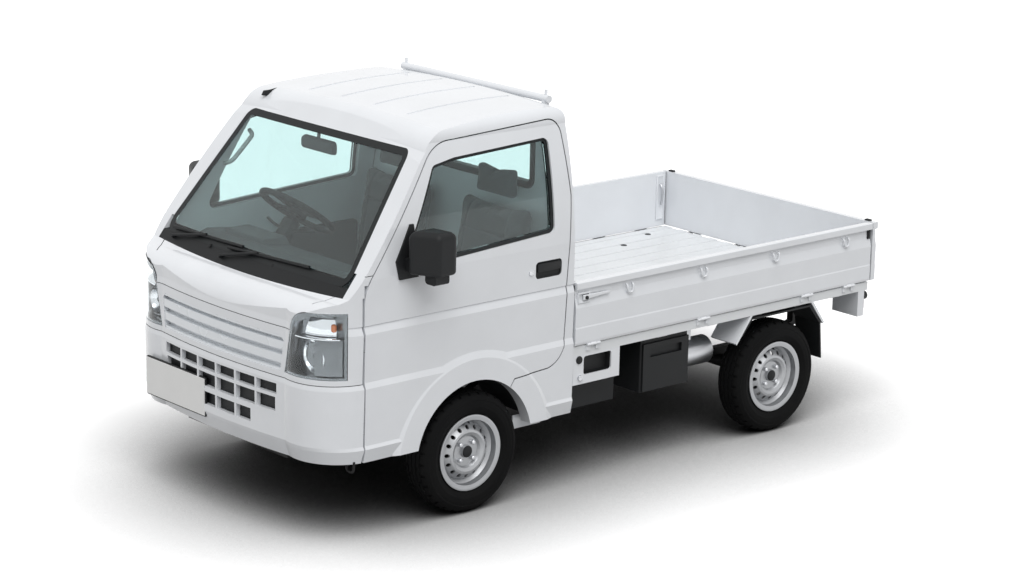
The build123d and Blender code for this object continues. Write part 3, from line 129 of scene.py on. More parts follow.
def spread(
    tree: bpy.types.NodeTree, value, low: float, high: float, to_low: float, to_high: float
) -> bpy.types.NodeSocket:
    """Output of a clamped linear map of a socket from one range to another."""
    feeds = {"Value": value, "From Min": low, "From Max": high, "To Min": to_low, "To Max": to_high}
    return add_node(tree, "ShaderNodeMapRange", feeds).outputs[0]


def blend_colour(tree: bpy.types.NodeTree, share, first, second) -> bpy.types.NodeSocket:
    """Output of a colour mix by a share."""
    node = add_node(tree, "ShaderNodeMix", data_type="RGBA")
    for number, value in ((0, share), (6, first), (7, second)):
        if isinstance(value, bpy.types.NodeSocket):
            tree.links.new(value, node.inputs[number])
        else:
            node.inputs[number].default_value = value
    return node.outputs[2]


class Effects:
    """Shared surface effects, each a node group that is built once."""

    _made: dict[str, bpy.types.NodeTree] = {}

    @classmethod
    def _start(cls, name: str, takes: Sequence[tuple], gives: Sequence[tuple]):
        """Open a new group.

        Args:
            name: Name of the group.
            takes: Label, socket type and default of each input.
            gives: Label and socket type of each output.

        Returns:
            The tree, its entry node and its exit node.
        """
        tree = bpy.data.node_groups.new(name, "ShaderNodeTree")
        for label, kind, default in takes:
            socket = tree.interface.new_socket(label, in_out="INPUT", socket_type=kind)
            if default is not None:
                socket.default_value = default
        for label, kind in gives:
            tree.interface.new_socket(label, in_out="OUTPUT", socket_type=kind)
        cls._made[name] = tree
        return tree, tree.nodes.new("NodeGroupInput").outputs, tree.nodes.new("NodeGroupOutput").inputs

    @classmethod
    def grain(cls) -> bpy.types.NodeTree:
        """Fine pebbled relief of moulded plastic, rubber and sprayed paint."""
        if "surface_grain" in cls._made:
            return cls._made["surface_grain"]
        tree, entry, leave = cls._start(
            "surface_grain",
            [
                ("Vector", "NodeSocketVector", None),
                ("Scale", "NodeSocketFloat", 600.0),
                ("Pebble", "NodeSocketFloat", 0.5),
            ],
            [("Height", "NodeSocketFloat")],
        )
        noise = add_node(
            tree, "ShaderNodeTexNoise", {"Vector": entry["Vector"], "Scale": entry["Scale"], "Detail": 3.0}
        )
        cells = add_node(tree, "ShaderNodeTexVoronoi", {"Vector": entry["Vector"], "Scale": entry["Scale"]})
        tree.links.new(
            add_node(
                tree,
                "ShaderNodeMix",
                {0: entry["Pebble"], 2: noise.outputs["Fac"], 3: cells.outputs["Distance"]},
            ).outputs[0],
            leave["Height"],
        )
        return tree

    @classmethod
    def dust(cls) -> bpy.types.NodeTree:
        """Road dust that gathers low on the truck in cloudy patches."""
        if "road_dust" in cls._made:
            return cls._made["road_dust"]
        tree, entry, leave = cls._start(
            "road_dust",
            [
                ("Vector", "NodeSocketVector", None),
                ("Colour", "NodeSocketColor", (0.5, 0.5, 0.5, 1)),
                ("Dust", "NodeSocketColor", (0.30, 0.28, 0.25, 1)),
                ("Reach", "NodeSocketFloat", 0.6),
                ("Amount", "NodeSocketFloat", 0.2),
            ],
            [("Colour", "NodeSocketColor"), ("Mask", "NodeSocketFloat")],
        )
        height = add_node(tree, "ShaderNodeSeparateXYZ", {0: entry["Vector"]}).outputs["Z"]
        low = math_node(tree, "SUBTRACT", 1.0, math_node(tree, "DIVIDE", height, entry["Reach"]))
        low = spread(tree, low, 0.0, 1.0, 0.0, 1.0)
        cloud = add_node(
            tree, "ShaderNodeTexNoise", {"Vector": entry["Vector"], "Scale": 7.0, "Detail": 6.0}
        )
        patch = spread(tree, cloud.outputs["Fac"], 0.35, 0.7, 0.15, 1.0)
        mask = math_node(tree, "MULTIPLY", math_node(tree, "MULTIPLY", low, patch), entry["Amount"])
        tree.links.new(mask, leave["Mask"])
        tree.links.new(blend_colour(tree, mask, entry["Colour"], entry["Dust"]), leave["Colour"])
        return tree

    @classmethod
    def tone(cls) -> bpy.types.NodeTree:
        """Slow drift of a colour's value, with a mask for the gloss to follow."""
        if "tone_drift" in cls._made:
            return cls._made["tone_drift"]
        tree, entry, leave = cls._start(
            "tone_drift",
            [
                ("Vector", "NodeSocketVector", None),
                ("Colour", "NodeSocketColor", (0.5, 0.5, 0.5, 1)),
                ("Scale", "NodeSocketFloat", 4.0),
                ("Amount", "NodeSocketFloat", 0.05),
            ],
            [("Colour", "NodeSocketColor"), ("Drift", "NodeSocketFloat")],
        )
        noise = add_node(
            tree, "ShaderNodeTexNoise", {"Vector": entry["Vector"], "Scale": entry["Scale"], "Detail": 5.0}
        )
        drift = spread(tree, noise.outputs["Fac"], 0.3, 0.7, 0.0, 1.0)
        lift = math_node(tree, "MULTIPLY", math_node(tree, "SUBTRACT", drift, 0.5), entry["Amount"])
        shaded = add_node(
            tree,
            "ShaderNodeHueSaturation",
            {"Value": math_node(tree, "ADD", lift, 1.0), "Color": entry["Colour"]},
        )
        tree.links.new(shaded.outputs["Color"], leave["Colour"])
        tree.links.new(drift, leave["Drift"])
        return tree

    @classmethod
    def weave(cls) -> bpy.types.NodeTree:
        """Plain woven seat cloth: crossing threads as relief and shade."""
        if "plain_weave" in cls._made:
            return cls._made["plain_weave"]
        tree, entry, leave = cls._start(
            "plain_weave",
            [("Vector", "NodeSocketVector", None), ("Threads", "NodeSocketFloat", 2600.0)],
            [("Height", "NodeSocketFloat"), ("Shade", "NodeSocketFloat")],
        )
        parts = add_node(tree, "ShaderNodeSeparateXYZ", {0: entry["Vector"]}).outputs
        across = math_node(tree, "MULTIPLY", parts["Y"], entry["Threads"])
        along = math_node(
            tree, "MULTIPLY", math_node(tree, "ADD", parts["X"], parts["Z"]), entry["Threads"]
        )
        crossing = math_node(
            tree, "MULTIPLY", math_node(tree, "SINE", across), math_node(tree, "SINE", along)
        )
        height = spread(tree, crossing, -1.0, 1.0, 0.0, 1.0)
        fibres = add_node(
            tree, "ShaderNodeTexNoise", {"Vector": entry["Vector"], "Scale": 900.0, "Detail": 2.0}
        )
        tree.links.new(height, leave["Height"])
        tree.links.new(math_node(tree, "MULTIPLY", height, fibres.outputs["Fac"]), leave["Shade"])
        return tree


class Surface(Enum):
    """Kind of surface, which decides how a finish is wired."""

    PAINT = "paint"
    PLASTIC = "plastic"
    METAL = "metal"
    GLASS = "glass"
    LENS = "lens"
    CLOTH = "cloth"


@dataclass(frozen=True)
class Finish:
    """One surface finish of the truck.

    Attributes:
        name: Name of the material.
        slot: Material slot of the record that it belongs to; not used.
        colour: Base colour in linear values.
        kind: Kind of surface.
        rough: Roughness of the clean surface.
        grain: Scale of the fine relief.
        relief: Strength of the fine relief.
        dust: Amount of road dust low on the truck.
        coat: Weight of a clear coat.
        metallic: Metallic share of paint with flakes.
        shine: Level of the plain mirror gloss.
        gap_shade_reach: Reach of the painted shade that darkens gaps and seams, or nothing.
    """

    name: str
    slot: str
    colour: Colour
    kind: Surface = Surface.PLASTIC
    rough: float = 0.5
    grain: float = 700.0
    relief: float = 0.15
    dust: float = 0.0
    coat: float = 0.0
    metallic: float = 0.0
    shine: float = 0.5
    gap_shade_reach: float = 0.0

    def material(self) -> bpy.types.Material:
        """Material of this finish, built on its first use."""
        found = bpy.data.materials.get(self.name)
        if found:
            return found
        made = bpy.data.materials.new(self.name)
        made.use_nodes = True
        tree = made.node_tree
        shader = tree.nodes["Principled BSDF"]
        place = add_node(tree, "ShaderNodeTexCoord").outputs["Object"]
        shader.inputs["Coat Weight"].default_value = self.coat
        shader.inputs["Specular IOR Level"].default_value = self.shine
        if self.kind in (Surface.GLASS, Surface.LENS):
            self._wire_clear(tree, shader, place)
        elif self.kind is Surface.CLOTH:
            self._wire_cloth(tree, shader, place)
        else:
            self._wire_solid(tree, shader, place)
        return made

    @staticmethod
    def _filled(tree: bpy.types.NodeTree, group: bpy.types.NodeTree, feeds: dict) -> bpy.types.Node:
        """Place a shared effect and fill its inputs by name."""
        node = tree.nodes.new("ShaderNodeGroup")
        node.node_tree = group
        for key, value in feeds.items():
            if isinstance(value, bpy.types.NodeSocket):
                tree.links.new(value, node.inputs[key])
            else:
                node.inputs[key].default_value = value
        return node

    def _bump(
        self, tree: bpy.types.NodeTree, shader: bpy.types.Node, height: bpy.types.NodeSocket, depth: float
    ) -> None:
        """Feed a relief into the shader's normal."""
        bump = add_node(
            tree, "ShaderNodeBump", {"Strength": self.relief, "Distance": depth, "Height": height}
        )
        tree.links.new(bump.outputs["Normal"], shader.inputs["Normal"])

    def _wire_solid(
        self, tree: bpy.types.NodeTree, shader: bpy.types.Node, place: bpy.types.NodeSocket
    ) -> None:
        """Wire paint, plastic, rubber or metal."""
        shader.inputs["Metallic"].default_value = 1.0 if self.kind is Surface.METAL else self.metallic
        tone = self._filled(
            tree,
            Effects.tone(),
            {
                "Vector": place,
                "Colour": (*self.colour, 1),
                "Scale": 5.0,
                "Amount": 0.05 if self.kind is Surface.PAINT else 0.25,
            },
        )
        dust = self._filled(
            tree,
            Effects.dust(),
            {"Vector": place, "Colour": tone.outputs["Colour"], "Amount": self.dust, "Reach": 0.75},
        )
        skin = dust.outputs["Colour"]
        # Painted shade: ambient occlusion darkens the base colour in gaps, seams and creases.
        if self.gap_shade_reach:
            near = add_node(
                tree, "ShaderNodeAmbientOcclusion", {"Distance": self.gap_shade_reach}, samples=8
            ).outputs["AO"]
            gap_shade_colour = tuple(part * 0.16 for part in self.colour)
            skin = blend_colour(tree, spread(tree, near, 0.12, 0.52, 0.0, 1.0), (*gap_shade_colour, 1), skin)
        tree.links.new(skin, shader.inputs["Base Color"])
        gloss = spread(tree, tone.outputs["Drift"], 0.0, 1.0, self.rough * 0.9, self.rough * 1.12)
        gloss = math_node(tree, "ADD", gloss, math_node(tree, "MULTIPLY", dust.outputs["Mask"], 0.4))
        tree.links.new(gloss, shader.inputs["Roughness"])
        pebble = 0.15 if self.kind is Surface.PAINT else 0.6
        grain = self._filled(
            tree, Effects.grain(), {"Vector": place, "Scale": self.grain, "Pebble": pebble}
        )
        self._bump(tree, shader, grain.outputs["Height"], 0.0005)

    def _wire_clear(
        self, tree: bpy.types.NodeTree, shader: bpy.types.Node, place: bpy.types.NodeSocket
    ) -> None:
        """Wire window glass or a lamp lens."""
        shader.inputs["Transmission Weight"].default_value = 1.0
        shader.inputs["IOR"].default_value = 1.45 if self.kind is Surface.GLASS else 1.3
        tone = self._filled(
            tree,
            Effects.tone(),
            {"Vector": place, "Colour": (*self.colour, 1), "Scale": 3.0, "Amount": 0.03},
        )
        tree.links.new(tone.outputs["Colour"], shader.inputs["Base Color"])
        wiped = spread(tree, tone.outputs["Drift"], 0.4, 1.0, self.rough, self.rough + 0.015)
        tree.links.new(wiped, shader.inputs["Roughness"])

    def _wire_cloth(
        self, tree: bpy.types.NodeTree, shader: bpy.types.Node, place: bpy.types.NodeSocket
    ) -> None:
        """Wire woven cloth with its threads and a soft sheen."""
        shader.inputs["Sheen Weight"].default_value = 0.25
        weave = self._filled(tree, Effects.weave(), {"Vector": place, "Threads": self.grain})
        tone = self._filled(
            tree,
            Effects.tone(),
            {"Vector": place, "Colour": (*self.colour, 1), "Scale": 9.0, "Amount": 0.2},
        )
        pale = tuple(min(1.0, part * 1.9 + 0.01) for part in self.colour)
        tree.links.new(
            blend_colour(
                tree, weave.outputs["Shade"], tone.outputs["Colour"], (*pale, 1)
            ), shader.inputs["Base Color"]
        )
        tree.links.new(spread(tree, weave.outputs["Height"], 0, 1, 0.95, 0.75), shader.inputs["Roughness"])
        self._bump(tree, shader, weave.outputs["Height"], 0.0006)


WHITE_PAINT = Finish(
    "white_body_paint",
    "white_paint",
    (0.80, 0.82, 0.85),
    Surface.PAINT,
    0.22,
    260,
    0.012,
    0.05,
    0.5,
    gap_shade_reach=0.014,
)
BED_PAINT = Finish(
    "white_bed_paint",
    "white_paint",
    (0.78, 0.80, 0.815),
    Surface.PAINT,
    0.33,
    240,
    0.03,
    0.08,
    0.2,
    gap_shade_reach=0.014,
)
WINDOW_GLASS = Finish("green_window_glass", "tinted_glass", (0.72, 0.86, 0.855), Surface.GLASS, 0.0)
BLACK_TRIM = Finish(
    "black_moulded_trim",
    "black_plastic",
    (0.012, 0.013, 0.014),
    rough=0.5,
    grain=1500,
    relief=0.12,
    shine=0.22,
)
GREY_TRIM = Finish(
    "grey_cabin_moulding", "grey_plastic", (0.055, 0.06, 0.065), rough=0.6, grain=1200, relief=0.2
)
SEAT_CLOTH = Finish("grey_seat_cloth", "seat_fabric", (0.05, 0.055, 0.06), Surface.CLOTH, 0.85, 1900, 0.35)
CHASSIS_BLACK = Finish(
    "black_chassis_paint",
    "chassis_black",
    (0.007, 0.007, 0.008),
    rough=0.55,
    grain=420,
    relief=0.12,
    dust=0.06,
    shine=0.2,
)
CAST_METAL = Finish(
    "cast_engine_metal", "cast_metal", (0.16, 0.165, 0.17), Surface.METAL, 0.55, 500, 0.3, 0.2
)
BARE_STEEL = Finish(
    "zinc_plated_steel", "bare_steel", (0.55, 0.56, 0.58), Surface.METAL, 0.32, 380, 0.08, 0.05
)
LAMP_CHROME = Finish(
    "silvered_reflector", "lamp_chrome", (0.80, 0.81, 0.83), Surface.METAL, 0.10, 260, 0.02
)
DARK_CHROME = Finish("smoked_reflector", "lamp_chrome", (0.20, 0.21, 0.22), Surface.METAL, 0.20, 260, 0.02)
MIRROR_FACE = Finish("mirror_face", "lamp_chrome", (0.78, 0.80, 0.82), Surface.METAL, 0.03, 120, 0.0)
AMBER_LENS = Finish("amber_bulb", "red_lens", (0.62, 0.16, 0.03), Surface.PAINT, 0.12, 180, 0.03, 0.0, 0.5)
RUBBER_SEAL = Finish(
    "black_rubber_seal",
    "black_rubber",
    (0.010, 0.012, 0.013),
    rough=0.42,
    grain=900,
    relief=0.06,
    shine=0.25,
)
FLOOR_MAT = Finish(
    "ribbed_floor_mat", "black_rubber", (0.022, 0.023, 0.024), rough=0.72, grain=260, relief=0.4
)
PALE_TRIM = Finish("pale_cabin_trim", "grey_plastic", (0.42, 0.44, 0.44), rough=0.6, grain=900, relief=0.2)
LAMP_LENS = Finish("clear_lamp_lens", "lamp_lens", (0.93, 0.96, 0.97), Surface.LENS, 0.0)
RED_LENS = Finish(
    "red_lamp_lens", "red_lens", (0.42, 0.012, 0.012), Surface.PAINT, 0.12, 180, 0.05, 0.05, 0.6
)
GRILLE_GREY = Finish(
    "silver_grille_paint", "grille_grey", (0.76, 0.79, 0.82), Surface.PAINT, 0.26, 300, 0.02, 0.0, 0.4, 0.1
)
PLATE_WHITE = Finish("blank_plate_white", "plate_white", (0.86, 0.86, 0.85), Surface.PAINT, 0.35, 300, 0.02)
WHEEL_SILVER = Finish(
    "silver_wheel_paint",
    "wheel_silver",
    (0.40, 0.41, 0.425),
    Surface.PAINT,
    0.36,
    420,
    0.03,
    0.10,
    0.1,
    0.75,
)
TYRE_RUBBER = Finish(
    "black_tyre_rubber",
    "tyre",
    (0.004, 0.0042, 0.0045),
    rough=0.7,
    grain=800,
    relief=0.2,
    dust=0.012,
    shine=0.08,
)

FINISHED_NODES: tuple[tuple[Finish, tuple[str, ...]], ...] = (
    (
        CHASSIS_BLACK,
        (
            "frame_rails",
            "cross_members",
            "control_arms",
            "rear_axle",
            "leaf_springs",
            "propeller_shaft",
            "fuel_tank",
            "seat_bases",
            "knuckle_left",
            "knuckle_right",
        ),
    ),
    (CAST_METAL, ("engine",)),
    (BARE_STEEL, ("exhaust",)),
    (
        BLACK_TRIM,
        (
            "battery_box",
            "mudguards",
            "under_covers",
            "cowl",
            "wipers",
            "steering_column",
            "steering_wheel",
            "mirror_left",
            "mirror_right",
        ),
    ),
    (RUBBER_SEAL, ("screen_band", "door_seal_left", "door_seal_right")),
    (DARK_CHROME, ("lamp_housings",)),
    (RED_LENS, ("tail_lamps",)),
    (WINDOW_GLASS, ("rear_window", "windscreen", "door_glass_left", "door_glass_right")),
    (LAMP_LENS, ("headlamps",)),
    (GRILLE_GREY, ("grille",)),
    (PLATE_WHITE, ("number_plate",)),
    (GREY_TRIM, ("dashboard",)),
    (SEAT_CLOTH, ("seat_cushions", "seat_backs")),
    (BED_PAINT, ("bed_floor",)),
    (WHITE_PAINT, ("gate_hinge_sets", "guard_frame")),
)
NODE_FINISH = {name: finish for finish, names in FINISHED_NODES for name in names}


# Modelling bench


class Workpiece:
    """A mesh that is shaped with Blender's own operators."""

    def __init__(self, obj: bpy.types.Object) -> None:
        """Take an object in hand."""
        self.obj = obj

    @staticmethod
    def clear() -> None:
        """Go to object mode with nothing selected."""
        if bpy.context.mode != "OBJECT":
            bpy.ops.object.mode_set(mode="OBJECT")
        bpy.ops.object.select_all(action="DESELECT")

    @classmethod
    def _take(cls, name: str) -> "Workpiece":
        """Name the primitive that was just added and settle its place in its mesh."""
        obj = bpy.context.active_object
        obj.name = name
        obj.data.name = name
        bpy.ops.object.transform_apply(location=True, rotation=True, scale=True)
        return cls(obj)

    @classmethod
    def block(cls, name: str, low: Point, high: Point) -> "Workpiece":
        """Start from a cube that fills the space between two corners."""
        cls.clear()
        low, high = Vector(low), Vector(high)
        bpy.ops.mesh.primitive_cube_add(size=1, location=(low + high) / 2, scale=high - low)
        return cls._take(name)

    @classmethod
    def drum(
        cls,
        name: str,
        radius: float,
        length: float,
        place: Point,
        axis: Axis = Axis.ACROSS,
        sides: int = 40,
    ) -> "Workpiece":
        """Start from a cylinder about a point."""
        cls.clear()
        turn = {Axis.ALONG: (0, math.pi / 2, 0), Axis.ACROSS: (math.pi / 2, 0, 0), Axis.UP: (0, 0, 0)}[axis]
        bpy.ops.mesh.primitive_cylinder_add(
            vertices=sides, radius=radius, depth=length, location=place, rotation=turn
        )
        return cls._take(name)

    @classmethod
    def _trace(cls, name: str, line: Sequence[Point], closed: bool) -> "Workpiece":
        """Draw a chain of edges through points and stay in edit mode with all of it selected."""
        cls.clear()
        bpy.ops.mesh.primitive_plane_add(size=0.01, location=line[0])
        piece = cls._take(name)
        bpy.ops.object.mode_set(mode="EDIT")
        bpy.ops.mesh.select_mode(type="VERT")
        bpy.ops.mesh.select_all(action="SELECT")
        bpy.ops.mesh.merge(type="CENTER")
        for last, point in zip(line, line[1:]):
            bpy.ops.mesh.extrude_region_move(TRANSFORM_OT_translate={"value": Vector(point) - Vector(last)})
        if closed:
            piece.pick_points(lambda place: min((place - Vector(line[i])).length for i in (0, -1)) < 1e-5)
            bpy.ops.mesh.edge_face_add()
        bpy.ops.mesh.select_all(action="SELECT")
        return piece

    @classmethod
    def plate(cls, name: str, outline: Sequence[Point], move: Point) -> "Workpiece":
        """Fill a closed outline and draw it out by a move."""
        piece = cls._trace(name, outline, True)
        bpy.ops.mesh.edge_face_add()
        piece.extrude(move).pick_all()
        bpy.ops.mesh.normals_make_consistent(inside=False)
        return piece

    @classmethod
    def strip(cls, name: str, line: Sequence[Point], move: Point, thick: float) -> "Workpiece":
        """Draw an open line out by a move and give the sheet its thickness."""
        piece = cls._trace(name, line, False)
        piece.extrude(move).pick_all()
        bpy.ops.mesh.normals_make_consistent(inside=False)
        return piece.modify("SOLIDIFY", thickness=thick, offset=0)

    @classmethod
    def bar(cls, name: str, points: Sequence[Point], radius: float) -> "Workpiece":
        """Start from a smooth path with a round section, made a mesh."""
        cls.clear()
        path = bpy.data.curves.new(name, "CURVE")
        path.dimensions = "3D"
        path.bevel_depth = radius
        path.bevel_resolution = 3
        path.use_fill_caps = True
        spline = path.splines.new("NURBS")
        spline.points.add(len(points) - 1)
        for knot, point in zip(spline.points, points):
            knot.co = (*point, 1)
        spline.order_u = 3
        spline.use_endpoint_u = True
        obj = bpy.data.objects.new(name, path)
        bpy.context.scene.collection.objects.link(obj)
        piece = cls(obj)
        piece.hold()
        bpy.ops.object.convert(target="MESH")
        obj.data.name = name
        piece.pick_all()
        bpy.ops.mesh.remove_doubles(threshold=1e-6)
        bpy.ops.mesh.normals_make_consistent(inside=False)
        return piece

    @classmethod
    def lathe(
        cls, name: str, line: Sequence[Point], centre: Point, axis: Point, steps: int, closed: bool
    ) -> "Workpiece":
        """Draw a line of points and spin it round an axis.

        Args:
            name: Name of the piece.
            line: Points of the section, in the part's frame.
            centre: Point on the axis.
            axis: Direction of the axis.
            steps: Number of steps in a full turn.
            closed: Whether the section closes on itself.

        Returns:
            The spun piece with its seam merged and its normals outwards.
        """
        piece = cls._trace(name, line, closed)
        bpy.ops.mesh.select_all(action="SELECT")
        bpy.ops.mesh.spin(steps=steps, angle=2 * math.pi, center=centre, axis=axis)
        bpy.ops.mesh.select_all(action="SELECT")
        bpy.ops.mesh.remove_doubles(threshold=1e-5)
        bpy.ops.mesh.normals_make_consistent(inside=False)
        return piece

    def hold(self) -> None:
        """Make this the one selected and active object."""
        self.clear()
        self.obj.select_set(True)
        bpy.context.view_layer.objects.active = self.obj

    def _pick(self, mode: str, items: str, test: Callable) -> "Workpiece":
        """Select elements by a test and stay in edit mode."""
        self.hold()
        bpy.ops.object.mode_set(mode="EDIT")
        bpy.ops.mesh.select_mode(type=mode)
        bpy.ops.mesh.select_all(action="DESELECT")
        bpy.ops.object.mode_set(mode="OBJECT")
        for item in getattr(self.obj.data, items):
            item.select = test(item)
        bpy.ops.object.mode_set(mode="EDIT")
        return self

    def pick_faces(self, test: Callable[[Vector, Vector], bool]) -> "Workpiece":
        """Select the faces whose middle and normal pass a test."""
        return self._pick("FACE", "polygons", lambda face: test(face.center, face.normal))

    def pick_points(self, test: Callable[[Vector], bool]) -> "Workpiece":
        """Select the points whose place passes a test."""
        return self._pick("VERT", "vertices", lambda point: test(point.co))

    def pick_edges(self, test: Callable[[Vector, Vector], bool]) -> "Workpiece":
        """Select the edges whose middle and direction pass a test."""
        points = self.obj.data.vertices

        def wanted(edge: bpy.types.MeshEdge) -> bool:
            """Whether one edge passes."""
            first, second = (points[index].co for index in edge.vertices)
            return test((first + second) / 2, (second - first).normalized())

        return self._pick("EDGE", "edges", wanted)

    def pick_side(self, side: Facing) -> "Workpiece":
        """Select the faces that look to one side."""
        number, way = side.value
        return self.pick_faces(lambda middle, normal: normal[number] * way > FLUSH)

    def pick_along(self, axis: Axis) -> "Workpiece":
        """Select the edges that run along one axis."""
        number = "XYZ".index(axis.value)
        return self.pick_edges(lambda middle, way: abs(way[number]) > FLUSH)

    def pick_all(self) -> "Workpiece":
        """Select the whole mesh."""
        self.hold()
        bpy.ops.object.mode_set(mode="EDIT")
        bpy.ops.mesh.select_all(action="SELECT")
        return self

    def extrude(self, move: Point) -> "Workpiece":
        """Draw the selection out by a move."""
        bpy.ops.mesh.extrude_region_move(TRANSFORM_OT_translate={"value": Vector(move)})
        return self

    def push(self, depth: float) -> "Workpiece":
        """Draw the selected faces out along their normals, or in where the depth is negative."""
        bpy.ops.mesh.extrude_region_shrink_fatten(TRANSFORM_OT_shrink_fatten={"value": depth})
        return self

    def inset(self, width: float, depth: float = 0.0, each: bool = False) -> "Workpiece":
        """Inset the selected faces."""
        bpy.ops.mesh.inset(thickness=width, depth=depth, use_individual=each)
        return self

    def bevel(self, width: float, segments: int = 2) -> "Workpiece":
        """Bevel the selected edges."""
        bpy.ops.mesh.bevel(offset=width, segments=segments, affect="EDGES")
        return self

    def soften(self, width: float, segments: int = 2, angle: float = 30) -> "Workpiece":
        """Bevel every edge sharper than an angle, with an applied modifier."""
        return self.modify(
            "BEVEL", width=width, segments=segments, limit_method="ANGLE", angle_limit=math.radians(angle)
        )

    def move(self, by: Point) -> "Workpiece":
        """Move the selection."""
        bpy.ops.transform.translate(value=Vector(by))
        return self

    def resize(self, factors: Point, centre: Point) -> "Workpiece":
        """Scale the selection about a point."""
        bpy.ops.transform.resize(value=factors, center_override=Vector(centre))
        return self

    def cut(self, place: Point, normal: Point, drop: bool = False) -> "Workpiece":
        """Bisect the whole mesh by a plane and drop the part in front of it where asked."""
        self.pick_all()
        bpy.ops.mesh.bisect(
            plane_co=Vector(place), plane_no=Vector(normal), clear_outer=drop, use_fill=drop
        )
        return self

    def subdivide(self, cuts: int) -> "Workpiece":
        """Subdivide the whole mesh."""
        self.pick_all()
        bpy.ops.mesh.subdivide(number_cuts=cuts)
        return self

    def modify(self, kind: str, **settings) -> "Workpiece":
        """Add one modifier with its settings and apply it."""
        self.hold()
        modifier = self.obj.modifiers.new(kind.lower(), kind)
        for key, value in settings.items():
            setattr(modifier, key, value)
        bpy.ops.object.modifier_apply(modifier=modifier.name)
        return self

    def place(self, matrix: Matrix) -> "Workpiece":
        """Move the whole piece by a matrix and settle the place in its mesh."""
        self.hold()
        self.obj.matrix_world = matrix
        bpy.ops.object.transform_apply(location=True, rotation=True, scale=True)
        return self

    def twin(self, name: str, matrix: Matrix, flip: bool = False) -> "Workpiece":
        """Copy this piece with its own mesh to another place."""
        self.clear()
        obj = self.obj.copy()
        obj.data = self.obj.data.copy()
        obj.name = name
        obj.data.name = name
        bpy.context.scene.collection.objects.link(obj)
        piece = Workpiece(obj).place(matrix)
        if flip:
            piece.pick_all()
            bpy.ops.mesh.normals_make_consistent(inside=False)
            piece.clear()
        return piece

    def mirrored(self, name: str) -> "Workpiece":
        """Copy this piece to the other side of the truck."""
        return self.twin(name, Matrix.Diagonal((1, -1, 1, 1)), True)

    def dress_pair(
        self, finish: Finish, bodies: tuple[str, str] = ("chassis", "chassis"), angle: float = 35
    ) -> None:
        """Dress this left piece and its mirrored twin on the right."""
        right = self.mirrored(self.obj.name.replace("left", "right"))
        for piece, body in zip((self, right), bodies):
            piece.dress(finish, body, angle)

    def pierce(self, axis: int, width: float) -> "Workpiece":
        """Open a window through a plate, leaving a frame of a width."""
        self.pick_faces(lambda middle, normal: abs(normal[axis]) > 0.9)
        self.inset(width)
        bpy.ops.mesh.bridge_edge_loops()
        return self

    def join(self, *others: "Workpiece") -> "Workpiece":
        """Join other workpieces into this one."""
        self.hold()
        for other in others:
            other.obj.select_set(True)
        bpy.ops.object.join()
        return self

    def dress(self, finish: Finish, body: str, angle: float = 35) -> bpy.types.Object:
        """Smooth the piece, give it a finish and fix it to a body.

        Args:
            finish: Finish of the piece.
            body: Body of the frame that carries it.
            angle: Edges sharper than this stay sharp, in degrees.

        Returns:
            The finished object.
        """
        self.hold()
        bpy.ops.object.shade_smooth_by_angle(angle=math.radians(angle))
        self.obj.data.materials.clear()
        self.obj.data.materials.append(finish.material())
        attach(self.obj, body)
        LOG.info("piece %s on %s in %s", self.obj.name, body, finish.name)
        return self.obj


# Sub-assemblies


@dataclass
class CarriedNodes:
    """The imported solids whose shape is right, which only take a finish."""

    nodes: dict[str, bpy.types.Object]

    def dress(self) -> None:
        """Give every node its finish; panels that are not listed are white paint."""
        for name, obj in self.nodes.items():
            finish = NODE_FINISH.get(name)
            if finish is None:
                finish = WHEEL_SILVER if name.startswith("rim_") else TYRE_RUBBER if name.startswith(
                    "tyre_"
                ) else WHITE_PAINT
            for slot in obj.material_slots:
                slot.material = finish.material()
            LOG.info("node %s in %s", name, finish.name)


